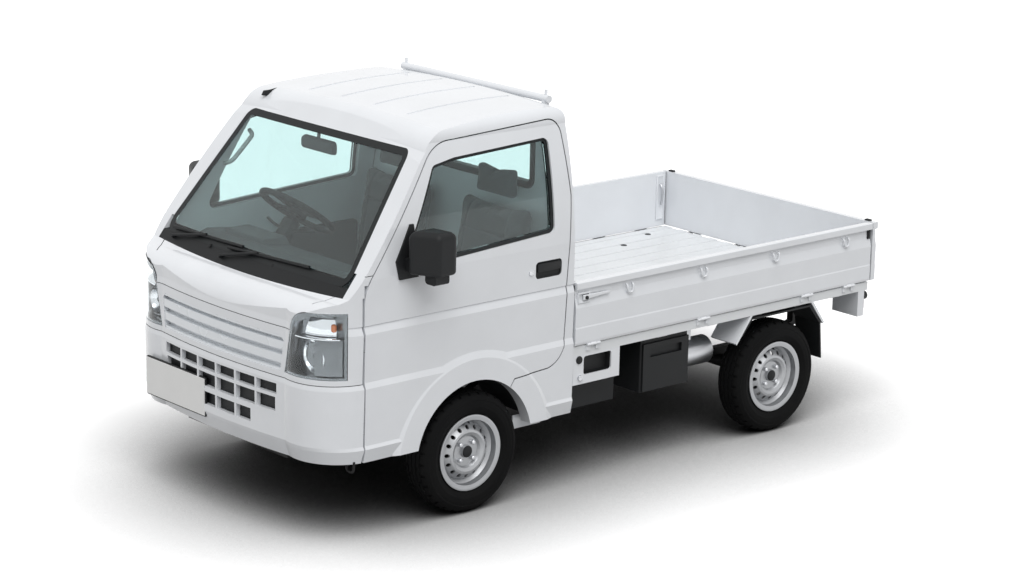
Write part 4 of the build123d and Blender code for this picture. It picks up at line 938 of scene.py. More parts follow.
@dataclass
class Tyres:
    """Four tyres with zigzag ribs, shoulder slots and raised rings on the wall."""

    radius: float = 0.270
    rim: float = 0.1525
    half: float = 0.0725
    steps: int = 96
    groove: float = 0.0055

    def section(self) -> list[tuple[float, float]]:
        """Closed section of the tyre as radius and side distance."""
        top, deep = self.radius, self.radius - self.groove
        outer = [
            (self.rim, 0.0535), (0.172, 0.0535), (0.180, 0.0600), (0.190, 0.0660), (0.200, 0.0698),
            (0.202, 0.0712),
            (0.206, 0.0717), (0.209, 0.0712), (0.215, self.half), (0.226, 0.0720), (0.234, 0.0706),
            (0.236, 0.0718),
            (0.240, 0.0716), (0.243, 0.0694), (0.250, 0.0660), (0.257, 0.0610), (0.2635, 0.0530),
            (0.2665, 0.0475),
            (0.2675, 0.0400), (0.2620, 0.0390), (0.2620, 0.0350), (0.2688, 0.0340),
            (top - 0.0004, 0.0160), (deep, 0.0150), (deep, 0.0110), (top, 0.0100),
        ]
        mirrored = [(radius, -side) for radius, side in reversed(outer)]
        inner = [
            (self.rim, -0.0400), (0.172, -0.0440), (0.215, -0.0620), (0.250, -0.0530), (0.255, -0.0300)
        ]
        return outer + mirrored + inner + [(radius, -side) for radius, side in reversed(inner)]

    def build(self) -> None:
        """Model one tyre, cut its tread, and set a copy at each corner."""
        line = [Vector((0, side, radius)) for radius, side in self.section()]
        first = Workpiece.lathe("tyre_tread_master", line, (0, 0, 0), (0, 1, 0), self.steps, True)
        step = 2 * math.pi / self.steps

        def turn(place: Vector) -> float:
            """Number of steps round the tyre."""
            return (math.atan2(place.x, place.z) % (2 * math.pi)) / step

        def radius(place: Vector) -> float:
            """Distance from the axle."""
            return math.hypot(place.x, place.z)

        first.pick_points(
            lambda p: radius(p) > 0.2600 and 0.008 < abs(p.y) < 0.037 and round(turn(p)) % 2 == 0
        ).move((0, 0.0035, 0))
        first.pick_faces(
            lambda p, n: radius(p) > 0.2555 and 0.041 < abs(p.y) < 0.060 and int(turn(p)) % 3 == (
                0 if p.y > 0 else 1
            )
        )
        first.inset(0.0022).push(-self.groove)
        first.pick_faces(
            lambda p, n: radius(p) > 0.266 and 0.018 < abs(p.y) < 0.032 and int(turn(p)) % 4 == (
                1 if p.y > 0 else 3
            )
        )
        first.inset(0.0045).push(-self.groove * 0.7)
        for corner in ("front_left", "front_right", "rear_left", "rear_right"):
            low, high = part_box(f"tyre_{corner}")
            hub = (low + high) / 2
            side = -1 if corner.endswith("right") else 1
            piece = first.twin(
                f"tyre_{corner}_tread", Matrix.Translation(hub) @ Matrix.Diagonal((1, side, 1, 1)), side < 0
            )
            obj = piece.dress(TYRE_RUBBER, f"wheel_{corner}", 40)
            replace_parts(obj, f"tyre_{corner}")
        first.hold()
        bpy.ops.object.delete()


def meet(node: bpy.types.Object, start: Point, heading: Point) -> Vector:
    """Point where a straight line from outside first meets a solid.

    Args:
        node: Solid that is met.
        start: Point from which the line starts.
        heading: Direction of the line.

    Returns:
        The point on the solid's face.
    """
    found, place, _, _ = node.ray_cast(Vector(start), Vector(heading).normalized())
    if not found:
        raise ValueError(f"no face of {node.name} lies on the line from {tuple(start)}")
    return place


@dataclass
class Seats:
    """Two cloth seats, each a cushion, a back and a head pad that are blown up softly."""

    middle: float = 0.345
    half: float = 0.222
    head_half: float = 0.122
    voxel: float = 0.0055
    pressure: float = 4.0
    cap: float = 0.024
    seam: float = 0.006
    cushion_line: tuple = (
        (0.548, 0.703), (0.900, 0.703), (0.914, 0.735), (0.906, 0.785), (0.870, 0.806), (0.700, 0.798),
        (0.548, 0.806),
    )
    back_line: tuple = (
        (0.442, 0.818), (0.516, 0.838), (0.500, 0.990), (0.452, 1.232), (0.436, 1.266), (0.406, 1.266),
        (0.386, 1.228),
    )
    head_line: tuple = ((0.446, 1.292), (0.440, 1.418), (0.396, 1.418), (0.398, 1.292))

    def build(self) -> None:
        """Make the left seat and set a copy of it on the driver's side."""
        pads = [
            (
                self._pad("seat_cushion_left", self.cushion_line, self.half),
                "seat_cushions",
                self._sew_cushion,
                0.85,
            ),
            (
                self._pad("seat_back_left", self.back_line, self.half - 0.008),
                "seat_backs",
                self._sew_back,
                0.8,
            ),
            (self._pad("head_pad_left", self.head_line, self.head_half), "seat_backs", None, 0.8),
        ]
        for piece, node, sew, fill in pads:
            if sew:
                sew(piece)
            right = piece.twin(
                piece.obj.name.replace("left", "right"), Matrix.Translation((0, -2 * self.middle, 0))
            )
            for each in (piece, right):
                obj = each.dress(SEAT_CLOTH, "chassis", 60)
                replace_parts(obj, node)

    def _pad(self, name: str, line: Sequence[Point], half: float) -> Workpiece:
        """One stuffed pad from its side outline.

        Args:
            name: Name of the piece.
            line: Outline seen from the side, as length and height.
            half: Half of its width.

        Returns:
            The stuffed pad.
        """
        outline = [(x, self.middle - half, z) for x, z in line]
        piece = Workpiece.plate(name, outline, (0, 2 * half, 0))
        piece.soften(0.016, 3, 20)
        piece.modify("REMESH", mode="VOXEL", voxel_size=self.voxel)
        self._stuff(piece)
        return piece.modify("SUBSURF", levels=1, render_levels=1)

    def _stuff(self, piece: Workpiece) -> None:
        """Blow the pad up as cloth, keep its underside flat and cap how far a point goes."""
        mesh = piece.obj.data
        start = [point.co.copy() for point in mesh.vertices]
        low = min(place.z for place in start)
        group = piece.obj.vertex_groups.new(name="resting")
        group.add([i for i, place in enumerate(start) if place.z < low + 0.006], 1.0, "REPLACE")
        piece.hold()
        cloth = piece.obj.modifiers.new("stuffing", "CLOTH")
        cloth.settings.use_pressure = True
        cloth.settings.uniform_pressure_force = self.pressure
        cloth.settings.effector_weights.gravity = 0
        cloth.settings.vertex_group_mass = group.name
        for frame in range(1, 21):
            bpy.context.scene.frame_set(frame)
        bpy.ops.object.modifier_apply(modifier=cloth.name)
        for point, place in zip(piece.obj.data.vertices, start):
            shift = point.co - place
            if shift.length > self.cap:
                point.co = place + shift * (self.cap / shift.length)
        bpy.context.scene.frame_set(1)
        piece.obj.vertex_groups.clear()

    def _groove(self, piece: Workpiece, gap: Callable[[Vector], float], facing: Vector) -> None:
        """Draw a sewn channel into the cover.

        Args:
            piece: Pad that is sewn.
            gap: Distance of a point from the seam.
            facing: Side of the pad that carries the seam.
        """
        normals = [point.normal.copy() for point in piece.obj.data.vertices]
        for point, normal in zip(piece.obj.data.vertices, normals):
            lean = max(0.0, normal.dot(facing))
            point.co -= normal * lean * self.seam * math.exp(-((gap(point.co) / 0.006) ** 2))

    def _sew_cushion(self, piece: Workpiece) -> None:
        """Two seams along the cushion and one across it."""
        up = Vector((0, 0, 1))
        self._groove(piece, lambda p: abs(abs(p.y - self.middle) - 0.135), up)
        self._groove(piece, lambda p: max(abs(p.x - 0.800), abs(p.y - self.middle) - 0.135), up)

    def _sew_back(self, piece: Workpiece) -> None:
        """Two seams up the back and one across its shoulders."""
        front = Vector((1, 0, 0))
        self._groove(piece, lambda p: abs(abs(p.y - self.middle) - 0.130), front)
        self._groove(piece, lambda p: max(abs(p.z - 1.130), abs(p.y - self.middle) - 0.130), front)


@dataclass
class HeadLamps:
    """Insides of the two corner lamps: bowl, bulb shield, shelf, side panel and turn bulb."""

    nodes: dict[str, bpy.types.Object]
    hub: tuple[float, float] = (1.480, 0.500)
    bowl: tuple[float, float] = (0.572, 0.800)
    radius: float = 0.064
    shelf_z: float = 0.884

    def build(self) -> None:
        """Make the left lamp's pieces and mirror each to the right."""
        made = [
            (self._bowl(), LAMP_CHROME),
            (self._shield(), DARK_CHROME),
            (self._shelf(), LAMP_CHROME),
            (self._panel(), DARK_CHROME),
            (self._upper(), LAMP_CHROME),
            (self._bulb(), AMBER_LENS),
        ]
        for piece, finish in made:
            piece.dress_pair(finish, angle=40)

    def _curve(
        self, height: float, depth: float, first: float, last: float, steps: int = 12
    ) -> list[Vector]:
        """Points that follow the lens at a depth behind it.

        Args:
            height: Height of the points.
            depth: Distance behind the lens's outer face.
            first: First angle about the lamp's hub, in degrees from straight ahead.
            last: Last angle.
            steps: Number of steps between them.

        Returns:
            The points from first to last.
        """
        points = []
        for step in range(steps + 1):
            turn = math.radians(first + (last - first) * step / steps)
            way = Vector((math.cos(turn), math.sin(turn), 0))
            start = Vector((*self.hub, height))
            points.append(meet(self.nodes["headlamps"], start + way * 0.5, -way) - way * depth)
        return points

    def _mouth(self) -> float:
        """Place of the bowl's rim along the truck, clear behind the lens."""
        y, z = self.bowl
        reach = self.radius + 0.006
        lens = self.nodes["headlamps"]
        return min(meet(lens, (3, y + reach * s, z), (-1, 0, 0)).x for s in (-0.9, 0, 1)) - 0.012

    def _bowl(self) -> Workpiece:
        """Deep round reflector with a flat rim."""
        y, z = self.bowl
        mouth = self._mouth()
        line = [
            (mouth - 0.044 * (1 - (k / 8) ** 2), y, z + 0.010 + (self.radius - 0.010) * k / 8)
            for k in range(9)
        ]
        line += [(mouth + 0.001, y, z + self.radius + 0.001), (mouth + 0.001, y, z + self.radius + 0.007)]
        line += [(mouth - 0.004, y, z + self.radius + 0.007), (mouth - 0.006, y, z + self.radius + 0.001)]
        line += [(mouth - 0.030, y, z + 0.045), (mouth - 0.047, y, z + 0.010)]
        return Workpiece.lathe("lamp_bowl_left", line, (mouth, y, z), (1, 0, 0), 48, True)

    def _shield(self) -> Workpiece:
        """Bulb shield in the middle of the bowl."""
        y, z = self.bowl
        mouth = self._mouth()
        line = [
            (0.0470, 0.006),
            (0.030, 0.008),
            (0.028, 0.013),
            (0.010, 0.013),
            (0.006, 0.010),
            (0.0045, 0.0002),
        ]
        points = [(mouth - back, y, z + radius) for back, radius in line]
        return Workpiece.lathe("bulb_shield_left", points, (mouth, y, z), (1, 0, 0), 24, False)

    def _shelf(self) -> Workpiece:
        """Level shelf between the bowl and the upper chamber."""
        front = self._curve(self.shelf_z, 0.010, 4, 68)
        rear = self._curve(self.shelf_z, 0.058, 4, 68)
        return Workpiece.plate("lamp_shelf_left", front + rear[::-1], (0, 0, 0.005)).soften(0.0012)

    def _panel(self) -> Workpiece:
        """Smooth smoked panel that wraps the outer corner."""
        line = self._curve(0.728, 0.012, 36, 71)
        piece = Workpiece.strip("lamp_side_panel_left", line, (0, 0, self.shelf_z - 0.728), 0.002)
        return piece.soften(0.0006)

    def _upper(self) -> Workpiece:
        """Bright back of the upper chamber, in three facets."""
        line = self._curve(self.shelf_z + 0.008, 0.046, 6, 66, 3)
        return Workpiece.strip(
            "lamp_upper_reflector_left", line, (-0.010, -0.008, 0.070), 0.002
        ).soften(0.0006)

    def _bulb(self) -> Workpiece:
        """Amber turn bulb with a rounded tip."""
        place = self._curve(0.930, 0.040, 62, 62, 1)[0]
        piece = Workpiece.drum("turn_bulb_left", 0.012, 0.034, place, Axis.UP, 24)
        piece.pick_edges(lambda middle, way: abs(way.z) < 0.1)
        return piece.bevel(0.0085, 4)


@dataclass
class RearLamps:
    """Two tail lamps, each a black case with amber, red and clear lenses."""

    x: tuple[float, float] = (-1.677, -1.634)
    y: tuple[float, float] = (0.562, 0.692)
    z: tuple[float, float] = (0.502, 0.592)

    def build(self) -> None:
        """Make the left lamp and mirror it."""
        case = Workpiece.block(
            "tail_lamp_cases", (self.x[0] + 0.006, self.y[0], self.z[0]), (self.x[1], self.y[1], self.z[1])
        )
        case.pick_side(Facing.REAR).inset(0.004).push(-0.002)
        case.soften(0.003)
        case.join(case.mirrored("tail_lamp_case_right"))
        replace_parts(case.dress(BLACK_TRIM, "chassis"), "tail_lamps")
        thirds = [
            self.y[0] + 0.005 + (self.y[1] - self.y[0] - 0.010) * share for share in (0, 0.26, 0.63, 1)
        ]
        for name, finish, near, far in zip(
            ("reverse", "stop", "turn"), (PLATE_WHITE, RED_LENS, AMBER_LENS), thirds, thirds[1:]
        ):
            lens = Workpiece.block(
                f"{name}_lens_left", (self.x[0], near + 0.001, self.z[0] + 0.006), (
                    self.x[0] + 0.010, far - 0.001, self.z[1] - 0.006
                )
            )
            lens.pick_side(Facing.REAR).inset(0.006).push(-0.0015)
            lens.soften(0.0022, 3)
            for each in (lens, lens.mirrored(f"{name}_lens_right")):
                each.dress(finish, "chassis")


@dataclass
class WheelFittings:
    """Nuts, black hub cup and valve on each wheel."""

    nut_circle: float = 0.050
    nut_count: int = 4
    face: float = 0.0275

    def build(self) -> None:
        """Make one wheel's set at the origin, facing left, and copy it to each wheel."""
        cup_line = [
            (0.0002, 0.046),
            (0.020, 0.0455),
            (0.026, 0.042),
            (0.0275, 0.036),
            (0.0275, 0.029),
            (0.0002, 0.029),
        ]
        cup = Workpiece.lathe(
            "hub_cup", [(0, side, radius) for radius, side in cup_line], (0, 0, 0), (0, 1, 0), 32, False
        )
        nuts = [self._nut(index) for index in range(self.nut_count)]
        nuts[0].join(*nuts[1:])
        valve = Workpiece.bar(
            "valve_stem", [(0, 0.010, 0.136), (0, 0.032, 0.138), (0, 0.046, 0.134)], 0.0042
        )
        valve.pick_faces(lambda middle, normal: normal.y > 0.6).inset(0.0012).push(0.004)
        for corner in ("front_left", "front_right", "rear_left", "rear_right"):
            low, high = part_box(f"rim_{corner}")
            side = -1 if corner.endswith("right") else 1
            track = {"front": 0.6525, "rear": 0.645}[corner.split("_")[0]]
            hub = Vector(((low.x + high.x) / 2, side * track, (low.z + high.z) / 2))
            where = Matrix.Translation(hub) @ Matrix.Diagonal((1, side, 1, 1))
            for piece, word, finish in (
                (cup, "hub_cup", BLACK_TRIM), (nuts[0], "nuts", BARE_STEEL), (valve, "valve", BLACK_TRIM)
            ):
                piece.twin(f"{word}_{corner}", where, side < 0).dress(finish, f"wheel_{corner}")
        for piece in (cup, nuts[0], valve):
            piece.hold()
            bpy.ops.object.delete()

    def _nut(self, index: int) -> Workpiece:
        """One cone-seated nut with a domed end."""
        turn = 2 * math.pi * (index + 0.5) / self.nut_count
        place = (self.nut_circle * math.sin(turn), self.face + 0.007, self.nut_circle * math.cos(turn))
        nut = Workpiece.drum(f"wheel_nut_{index}", 0.0105, 0.015, place, Axis.ACROSS, 6)
        nut.pick_side(Facing.LEFT).inset(0.003, 0.003)
        return nut.soften(0.0008)


@dataclass
class DoorFittings:
    """Outer handle, lock, mirror face and inner panel of each door."""

    nodes: dict[str, bpy.types.Object]
    handle: tuple[float, float] = (0.4425, 1.030)
    cup: tuple[float, float] = (0.148, 0.072)
    card_x: tuple[float, float] = (0.405, 1.350)
    card_z: tuple[float, float] = (0.668, 0.985)

    def build(self) -> None:
        """Make the left door's pieces and mirror each to the right door."""
        made = [
            *self._handle(),
            (self._lock(), BARE_STEEL),
            (self._mirror_face(), MIRROR_FACE),
            *self._inside(),
        ]
        for piece, finish in made:
            piece.dress_pair(finish, ("door_left", "door_right"))

    def _outside(self, x: float, z: float) -> float:
        """Distance of the door's outer face from the middle at a place."""
        return meet(self.nodes["door_left"], (x, 2, z), (0, -1, 0)).y

    def _handle(self) -> list[tuple[Workpiece, Finish]]:
        """Black cup in the door's pocket and the flap that is pulled."""
        x, z = self.handle
        long, high = (size / 2 for size in self.cup)
        floor = self._outside(x, z)
        face = self._outside(x + long + 0.03, z)
        cup = Workpiece.block(
            "handle_cup_left", (x - long, floor - 0.001, z - high), (x + long, face - 0.003, z + high)
        )
        cup.pick_along(Axis.ACROSS).bevel(0.014, 5)
        cup.pick_side(Facing.LEFT).inset(0.005).push(-0.006)
        flap = Workpiece.block(
            "handle_flap_left", (x - long + 0.007, floor + 0.003, z - 0.010), (
                x + long - 0.007, face + 0.004, z + high - 0.006
            )
        )
        flap.pick_along(Axis.ACROSS).bevel(0.010, 4)
        flap.pick_side(Facing.BOTTOM).move((0, -0.004, 0))
        flap.soften(0.0025, 2)
        return [(cup.soften(0.001), BLACK_TRIM), (flap, BLACK_TRIM)]

    def _lock(self) -> Workpiece:
        """Round key lock ahead of the handle."""
        x, z = self.handle[0] + 0.104, self.handle[1] - 0.004
        piece = Workpiece.drum(
            "door_lock_left", 0.0115, 0.010, (x, self._outside(x, z), z), Axis.ACROSS, 28
        )
        piece.pick_side(Facing.LEFT).inset(0.0025, 0.0015).inset(0.004).push(-0.001)
        return piece.soften(0.0006)

    def _mirror_face(self) -> Workpiece:
        """Silvered glass in the mirror head."""
        outline = [
            (1.1270, 0.7730, 1.163),
            (1.1075, 0.8850, 1.163),
            (1.1045, 0.8845, 1.163),
            (1.1240, 0.7725, 1.163),
        ]
        piece = Workpiece.plate("mirror_face_left", outline, (0, 0, 0.120))
        piece.pick_along(Axis.ALONG).bevel(0.006, 3)
        return piece.soften(0.0008)

    def _inside(self) -> list[tuple[Workpiece, Finish]]:
        """Moulded inner panel with an arm rest, a pull and a window winder."""
        (x0, x1), (z0, z1) = self.card_x, self.card_z
        places = [(x0 + (x1 - x0) * k / 8, 0.2, z0 + (z1 - z0) * m / 6) for k in range(9) for m in range(7)]
        depths = [meet(self.nodes["door_left"], place, (0, 1, 0)).y for place in places]
        wall, deepest = min(depths), max(depths)
        card = Workpiece.block("door_panel_left", (x0, wall - 0.008, z0), (x1, deepest + 0.001, z1))
        card.pick_along(Axis.ACROSS).bevel(0.030, 5)
        card.pick_side(Facing.RIGHT).inset(0.012, -0.002).inset(0.006, 0.003)
        rest = Workpiece.block("arm_rest_left", (0.62, wall - 0.042, 0.800), (0.93, wall - 0.006, 0.850))
        rest.pick_side(Facing.FRONT).resize((1, 0.5, 0.6), (0.93, wall, 0.85))
        pull = Workpiece.bar(
            "inner_pull_left",
            [
                (1.02, wall, 0.90),
                (1.02, wall - 0.030, 0.90),
                (1.10, wall - 0.034, 0.905),
                (1.18, wall - 0.030, 0.90),
                (1.18, wall, 0.90),
            ],
            0.007,
        )
        winder = Workpiece.bar(
            "window_winder_left",
            [
                (1.10, wall, 0.78),
                (1.10, wall - 0.026, 0.78),
                (1.08, wall - 0.030, 0.75),
                (1.06, wall - 0.030, 0.71),
                (1.06, wall - 0.052, 0.71),
            ],
            0.008,
        )
        return [
            (card.soften(0.003), GREY_TRIM),
            (rest.soften(0.012, 4), GREY_TRIM),
            (pull, BLACK_TRIM),
            (winder, BLACK_TRIM),
        ]


@dataclass
class BedFittings:
    """Rope hooks, latches and buffers of the drop sides and the tailgate."""

    nodes: dict[str, bpy.types.Object]
    hooks: tuple[float, ...] = (-0.045, -0.512, -0.988, -1.474)
    latch_z: float = 0.868
    plugs: tuple[tuple[float, float], ...] = (
        (-1.192, -0.517), (-1.456, -0.617), (-0.62, -0.30), (-1.456, 0.617)
    )

    def build(self) -> None:
        """Make the left side's pieces and mirror each to the right."""
        made = [
            (self._hooks(), WHITE_PAINT),
            (self._latch_base(), WHITE_PAINT),
            (self._latch_lever(), WHITE_PAINT),
            (self._latch_pin(), BLACK_TRIM),
            (self._end_buffer(), RUBBER_SEAL),
            (self._rear_catch(), BLACK_TRIM),
            (self._corner_plate(), WHITE_PAINT),
            (self._corner_handle(), BARE_STEEL),
        ]
        for piece, finish in made:
            piece.dress_pair(finish, ("side_gate_left", "side_gate_right"))
        stop = self._post_buffer()
        for each in (stop, stop.mirrored("post_buffer_right")):
            each.dress(RUBBER_SEAL, "chassis")
        self._floor_plugs().dress(RUBBER_SEAL, "chassis")
        top = self._tail_buffer()
        for each in (top, top.mirrored("tail_buffer_right")):
            each.dress(RUBBER_SEAL, "tailgate")

    def _face(self, x: float, z: float) -> float:
        """Distance of the left side's outer face from the middle at a place."""
        return meet(self.nodes["side_gate_left"], (x, 2, z), (0, -1, 0)).y

    def _hooks(self) -> Workpiece:
        """Row of bent rope hooks under the top rail."""
        row = []
        for number, x in enumerate(self.hooks):
            high, low = self._face(x, 0.890), self._face(x, 0.852)
            out = max(high, low) + 0.011
            points = [
                (x - 0.018, high - 0.003, 0.890), (x - 0.018, out, 0.889), (x - 0.017, out, 0.856),
                (x, out, 0.848),
                (x + 0.017, out, 0.856), (x + 0.018, out, 0.889), (x + 0.018, high - 0.003, 0.890),
            ]
            row.append(Workpiece.bar(f"rope_hook_{number}", points, 0.0042))
        row[0].join(*row[1:])
        row[0].obj.name = "rope_hooks_left"
        return row[0]

    def _latch_base(self) -> Workpiece:
        """Plate that carries the front latch."""
        y, z = self._face(0.235, self.latch_z), self.latch_z
        piece = Workpiece.block(
            "latch_base_left", (0.196, y - 0.002, z - 0.026), (0.268, y + 0.010, z + 0.024)
        )
        piece.pick_side(Facing.LEFT).inset(0.008).push(-0.006)
        return piece.soften(0.0025)

    def _latch_lever(self) -> Workpiece:
        """Tapered lever of the front latch."""
        y, z = self._face(0.235, self.latch_z) + 0.006, self.latch_z
        piece = Workpiece.block("latch_lever_left", (0.080, y, z - 0.010), (0.240, y + 0.011, z + 0.012))
        piece.pick_side(Facing.REAR).resize((1, 0.5, 0.45), (0.080, y, z + 0.008))
        piece.subdivide(2)
        piece.pick_points(lambda place: place.x < 0.1).move((0, 0.004, 0))
        return piece.soften(0.003, 3)

    def _latch_pin(self) -> Workpiece:
        """Pivot of the front latch."""
        y = self._face(0.235, self.latch_z) + 0.012
        piece = Workpiece.drum("latch_pin_left", 0.0085, 0.020, (0.224, y, self.latch_z), Axis.ACROSS, 20)
        piece.pick_side(Facing.LEFT).inset(0.002, 0.001)
        return piece.soften(0.001)

    def _end_buffer(self) -> Workpiece:
        """Rubber buffer at the front end of the drop side."""
        y = self._face(0.27, 0.905)
        piece = Workpiece.block("end_buffer_left", (0.2795, y - 0.026, 0.880), (0.2875, y - 0.002, 0.926))
        piece.pick_side(Facing.FRONT).inset(0.004).push(-0.001)
        return piece.soften(0.003)

    def _rear_catch(self) -> Workpiece:
        """Black catch at the rear end of the drop side."""
        y = self._face(-1.640, 0.890)
        piece = Workpiece.block("rear_catch_left", (-1.652, y - 0.004, 0.862), (-1.632, y + 0.006, 0.914))
        piece.pick_side(Facing.LEFT).inset(0.005).push(0.003)
        return piece.soften(0.0025)

    def _corner_plate(self) -> Workpiece:
        """Stiffening plate on the inner face near the rear corner."""
        y = meet(self.nodes["side_gate_left"], (-1.60, 0.3, 0.80), (0, 1, 0)).y
        piece = Workpiece.block("corner_plate_left", (-1.640, y - 0.007, 0.690), (-1.590, y + 0.001, 0.925))
        piece.pick_side(Facing.RIGHT).inset(0.008).push(-0.003)
        return piece.soften(0.002)

    def _corner_handle(self) -> Workpiece:
        """Bent catch handle on the corner plate."""
        y = meet(self.nodes["side_gate_left"], (-1.60, 0.3, 0.80), (0, 1, 0)).y - 0.005
        points = [
            (-1.615, y, 0.875),
            (-1.615, y - 0.016, 0.870),
            (-1.615, y - 0.018, 0.800),
            (-1.615, y - 0.010, 0.770),
        ]
        return Workpiece.bar("corner_handle_left", points, 0.006)

    def _post_buffer(self) -> Workpiece:
        """Round rubber buffer on the rear post."""
        piece = Workpiece.drum("post_buffer_left", 0.021, 0.030, (-1.6475, 0.700, 0.574), Axis.ALONG, 28)
        piece.pick_side(Facing.REAR).inset(0.006).push(0.004)
        return piece.soften(0.003)

    def _floor_plugs(self) -> Workpiece:
        """Rubber plugs in the bed floor's drain holes."""
        row = []
        for number, (x, y) in enumerate(self.plugs):
            z = meet(self.nodes["bed_floor"], (x, y, 0.9), (0, 0, -1)).z
            plug = Workpiece.drum(f"floor_plug_{number}", 0.016, 0.003, (x, y, z), Axis.UP, 24)
            plug.pick_side(Facing.TOP).inset(0.005).push(-0.001)
            row.append(plug.soften(0.0006))
        row[0].join(*row[1:])
        row[0].obj.name = "floor_plugs"
        return row[0]

    def _tail_buffer(self) -> Workpiece:
        """Small buffer on the tailgate's top corner."""
        low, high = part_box("tailgate")
        x = (low.x + high.x) / 2
        piece = Workpiece.block(
            "tail_buffer_left", (x - 0.010, 0.668, high.z - 0.001), (x + 0.010, 0.698, high.z + 0.007)
        )
        piece.pick_side(Facing.TOP).inset(0.003).push(0.001)
        return piece.soften(0.002)


@dataclass
class FrontFittings:
    """Intake liner, plate holder, washers, aerial and tow eye."""

    nodes: dict[str, bpy.types.Object]
    washers: tuple[tuple[float, float], ...] = ((1.520, -0.285), (1.512, 0.165))
    aerial: tuple[float, float] = (1.035, -0.520)

    def build(self) -> None:
        """Make the pieces of the nose."""
        self._intake().dress(BLACK_TRIM, "chassis")
        self._holder().dress(BLACK_TRIM, "chassis")
        self._washers().dress(BLACK_TRIM, "chassis")
        self._aerial().dress(BLACK_TRIM, "chassis")
        eye = Workpiece.bar(
            "tow_eye",
            [
                (1.500, 0.660, 0.356),
                (1.500, 0.660, 0.318),
                (1.500, 0.672, 0.306),
                (1.500, 0.700, 0.306),
                (1.500, 0.712, 0.318),
                (1.500, 0.712, 0.356),
            ],
            0.0055,
        )
        eye.dress(CHASSIS_BLACK, "chassis")

    def _intake(self) -> Workpiece:
        """Black mesh behind the bumper's openings, which follows the nose."""
        places = [
            meet(self.nodes["under_covers"], (3, -0.405 + 0.81 * k / 16, 0.60), (-1, 0, 0))
            for k in range(17)
        ]
        line = [(place.x + 0.050, place.y, 0.447) for place in places]
        return Workpiece.strip("intake_liner", line, (0, 0, 0.214), 0.003).soften(0.0006)

    def _holder(self) -> Workpiece:
        """Black holder behind the blank plate."""
        low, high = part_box("number_plate")
        piece = Workpiece.block(
            "plate_holder", (high.x - 0.014, low.y - 0.006, low.z - 0.007), (
                high.x - 0.0045, high.y + 0.006, high.z + 0.006
            )
        )
        piece.pick_along(Axis.ALONG).bevel(0.008, 4)
        return piece.soften(0.0015)

    def _washers(self) -> Workpiece:
        """Two washer jets on the nose."""
        row = []
        for number, (x, y) in enumerate(self.washers):
            heights = []
            for name in ("front_panel", "cowl"):
                found, place, _, _ = self.nodes[name].ray_cast(Vector((x, y, 2)), Vector((0, 0, -1)))
                heights += [place.z] if found else []
            z = max(heights)
            jet = Workpiece.block(
                f"washer_jet_{number}", (x - 0.012, y - 0.010, z - 0.003), (x + 0.012, y + 0.010, z + 0.008)
            )
            jet.pick_side(Facing.TOP).resize((0.6, 0.7, 1), (x - 0.004, y, z + 0.008))
            row.append(jet.soften(0.0025, 3))
        row[0].join(*row[1:])
        row[0].obj.name = "washer_jets"
        return row[0]

    def _aerial(self) -> Workpiece:
        """Folded aerial on the roof's right front corner."""
        x, y = self.aerial
        heights = []
        for name in ("cab_roof", "cab_side_right"):
            found, place, _, _ = self.nodes[name].ray_cast(Vector((x, y, 2.2)), Vector((0, 0, -1)))
            heights += [place.z] if found else []
        z = max(heights)
        base = Workpiece.block(
            "roof_aerial", (x - 0.034, y - 0.010, z - 0.006), (x + 0.034, y + 0.010, z + 0.016)
        )
        base.pick_side(Facing.TOP).resize((0.55, 0.7, 1), (x + 0.012, y, z))
        base.soften(0.004, 3)
        rod = Workpiece.bar(
            "aerial_rod",
            [(x + 0.010, y, z + 0.010), (x - 0.04, y, z + 0.018), (x - 0.11, y, z + 0.022)],
            0.004,
        )
        return base.join(rod)


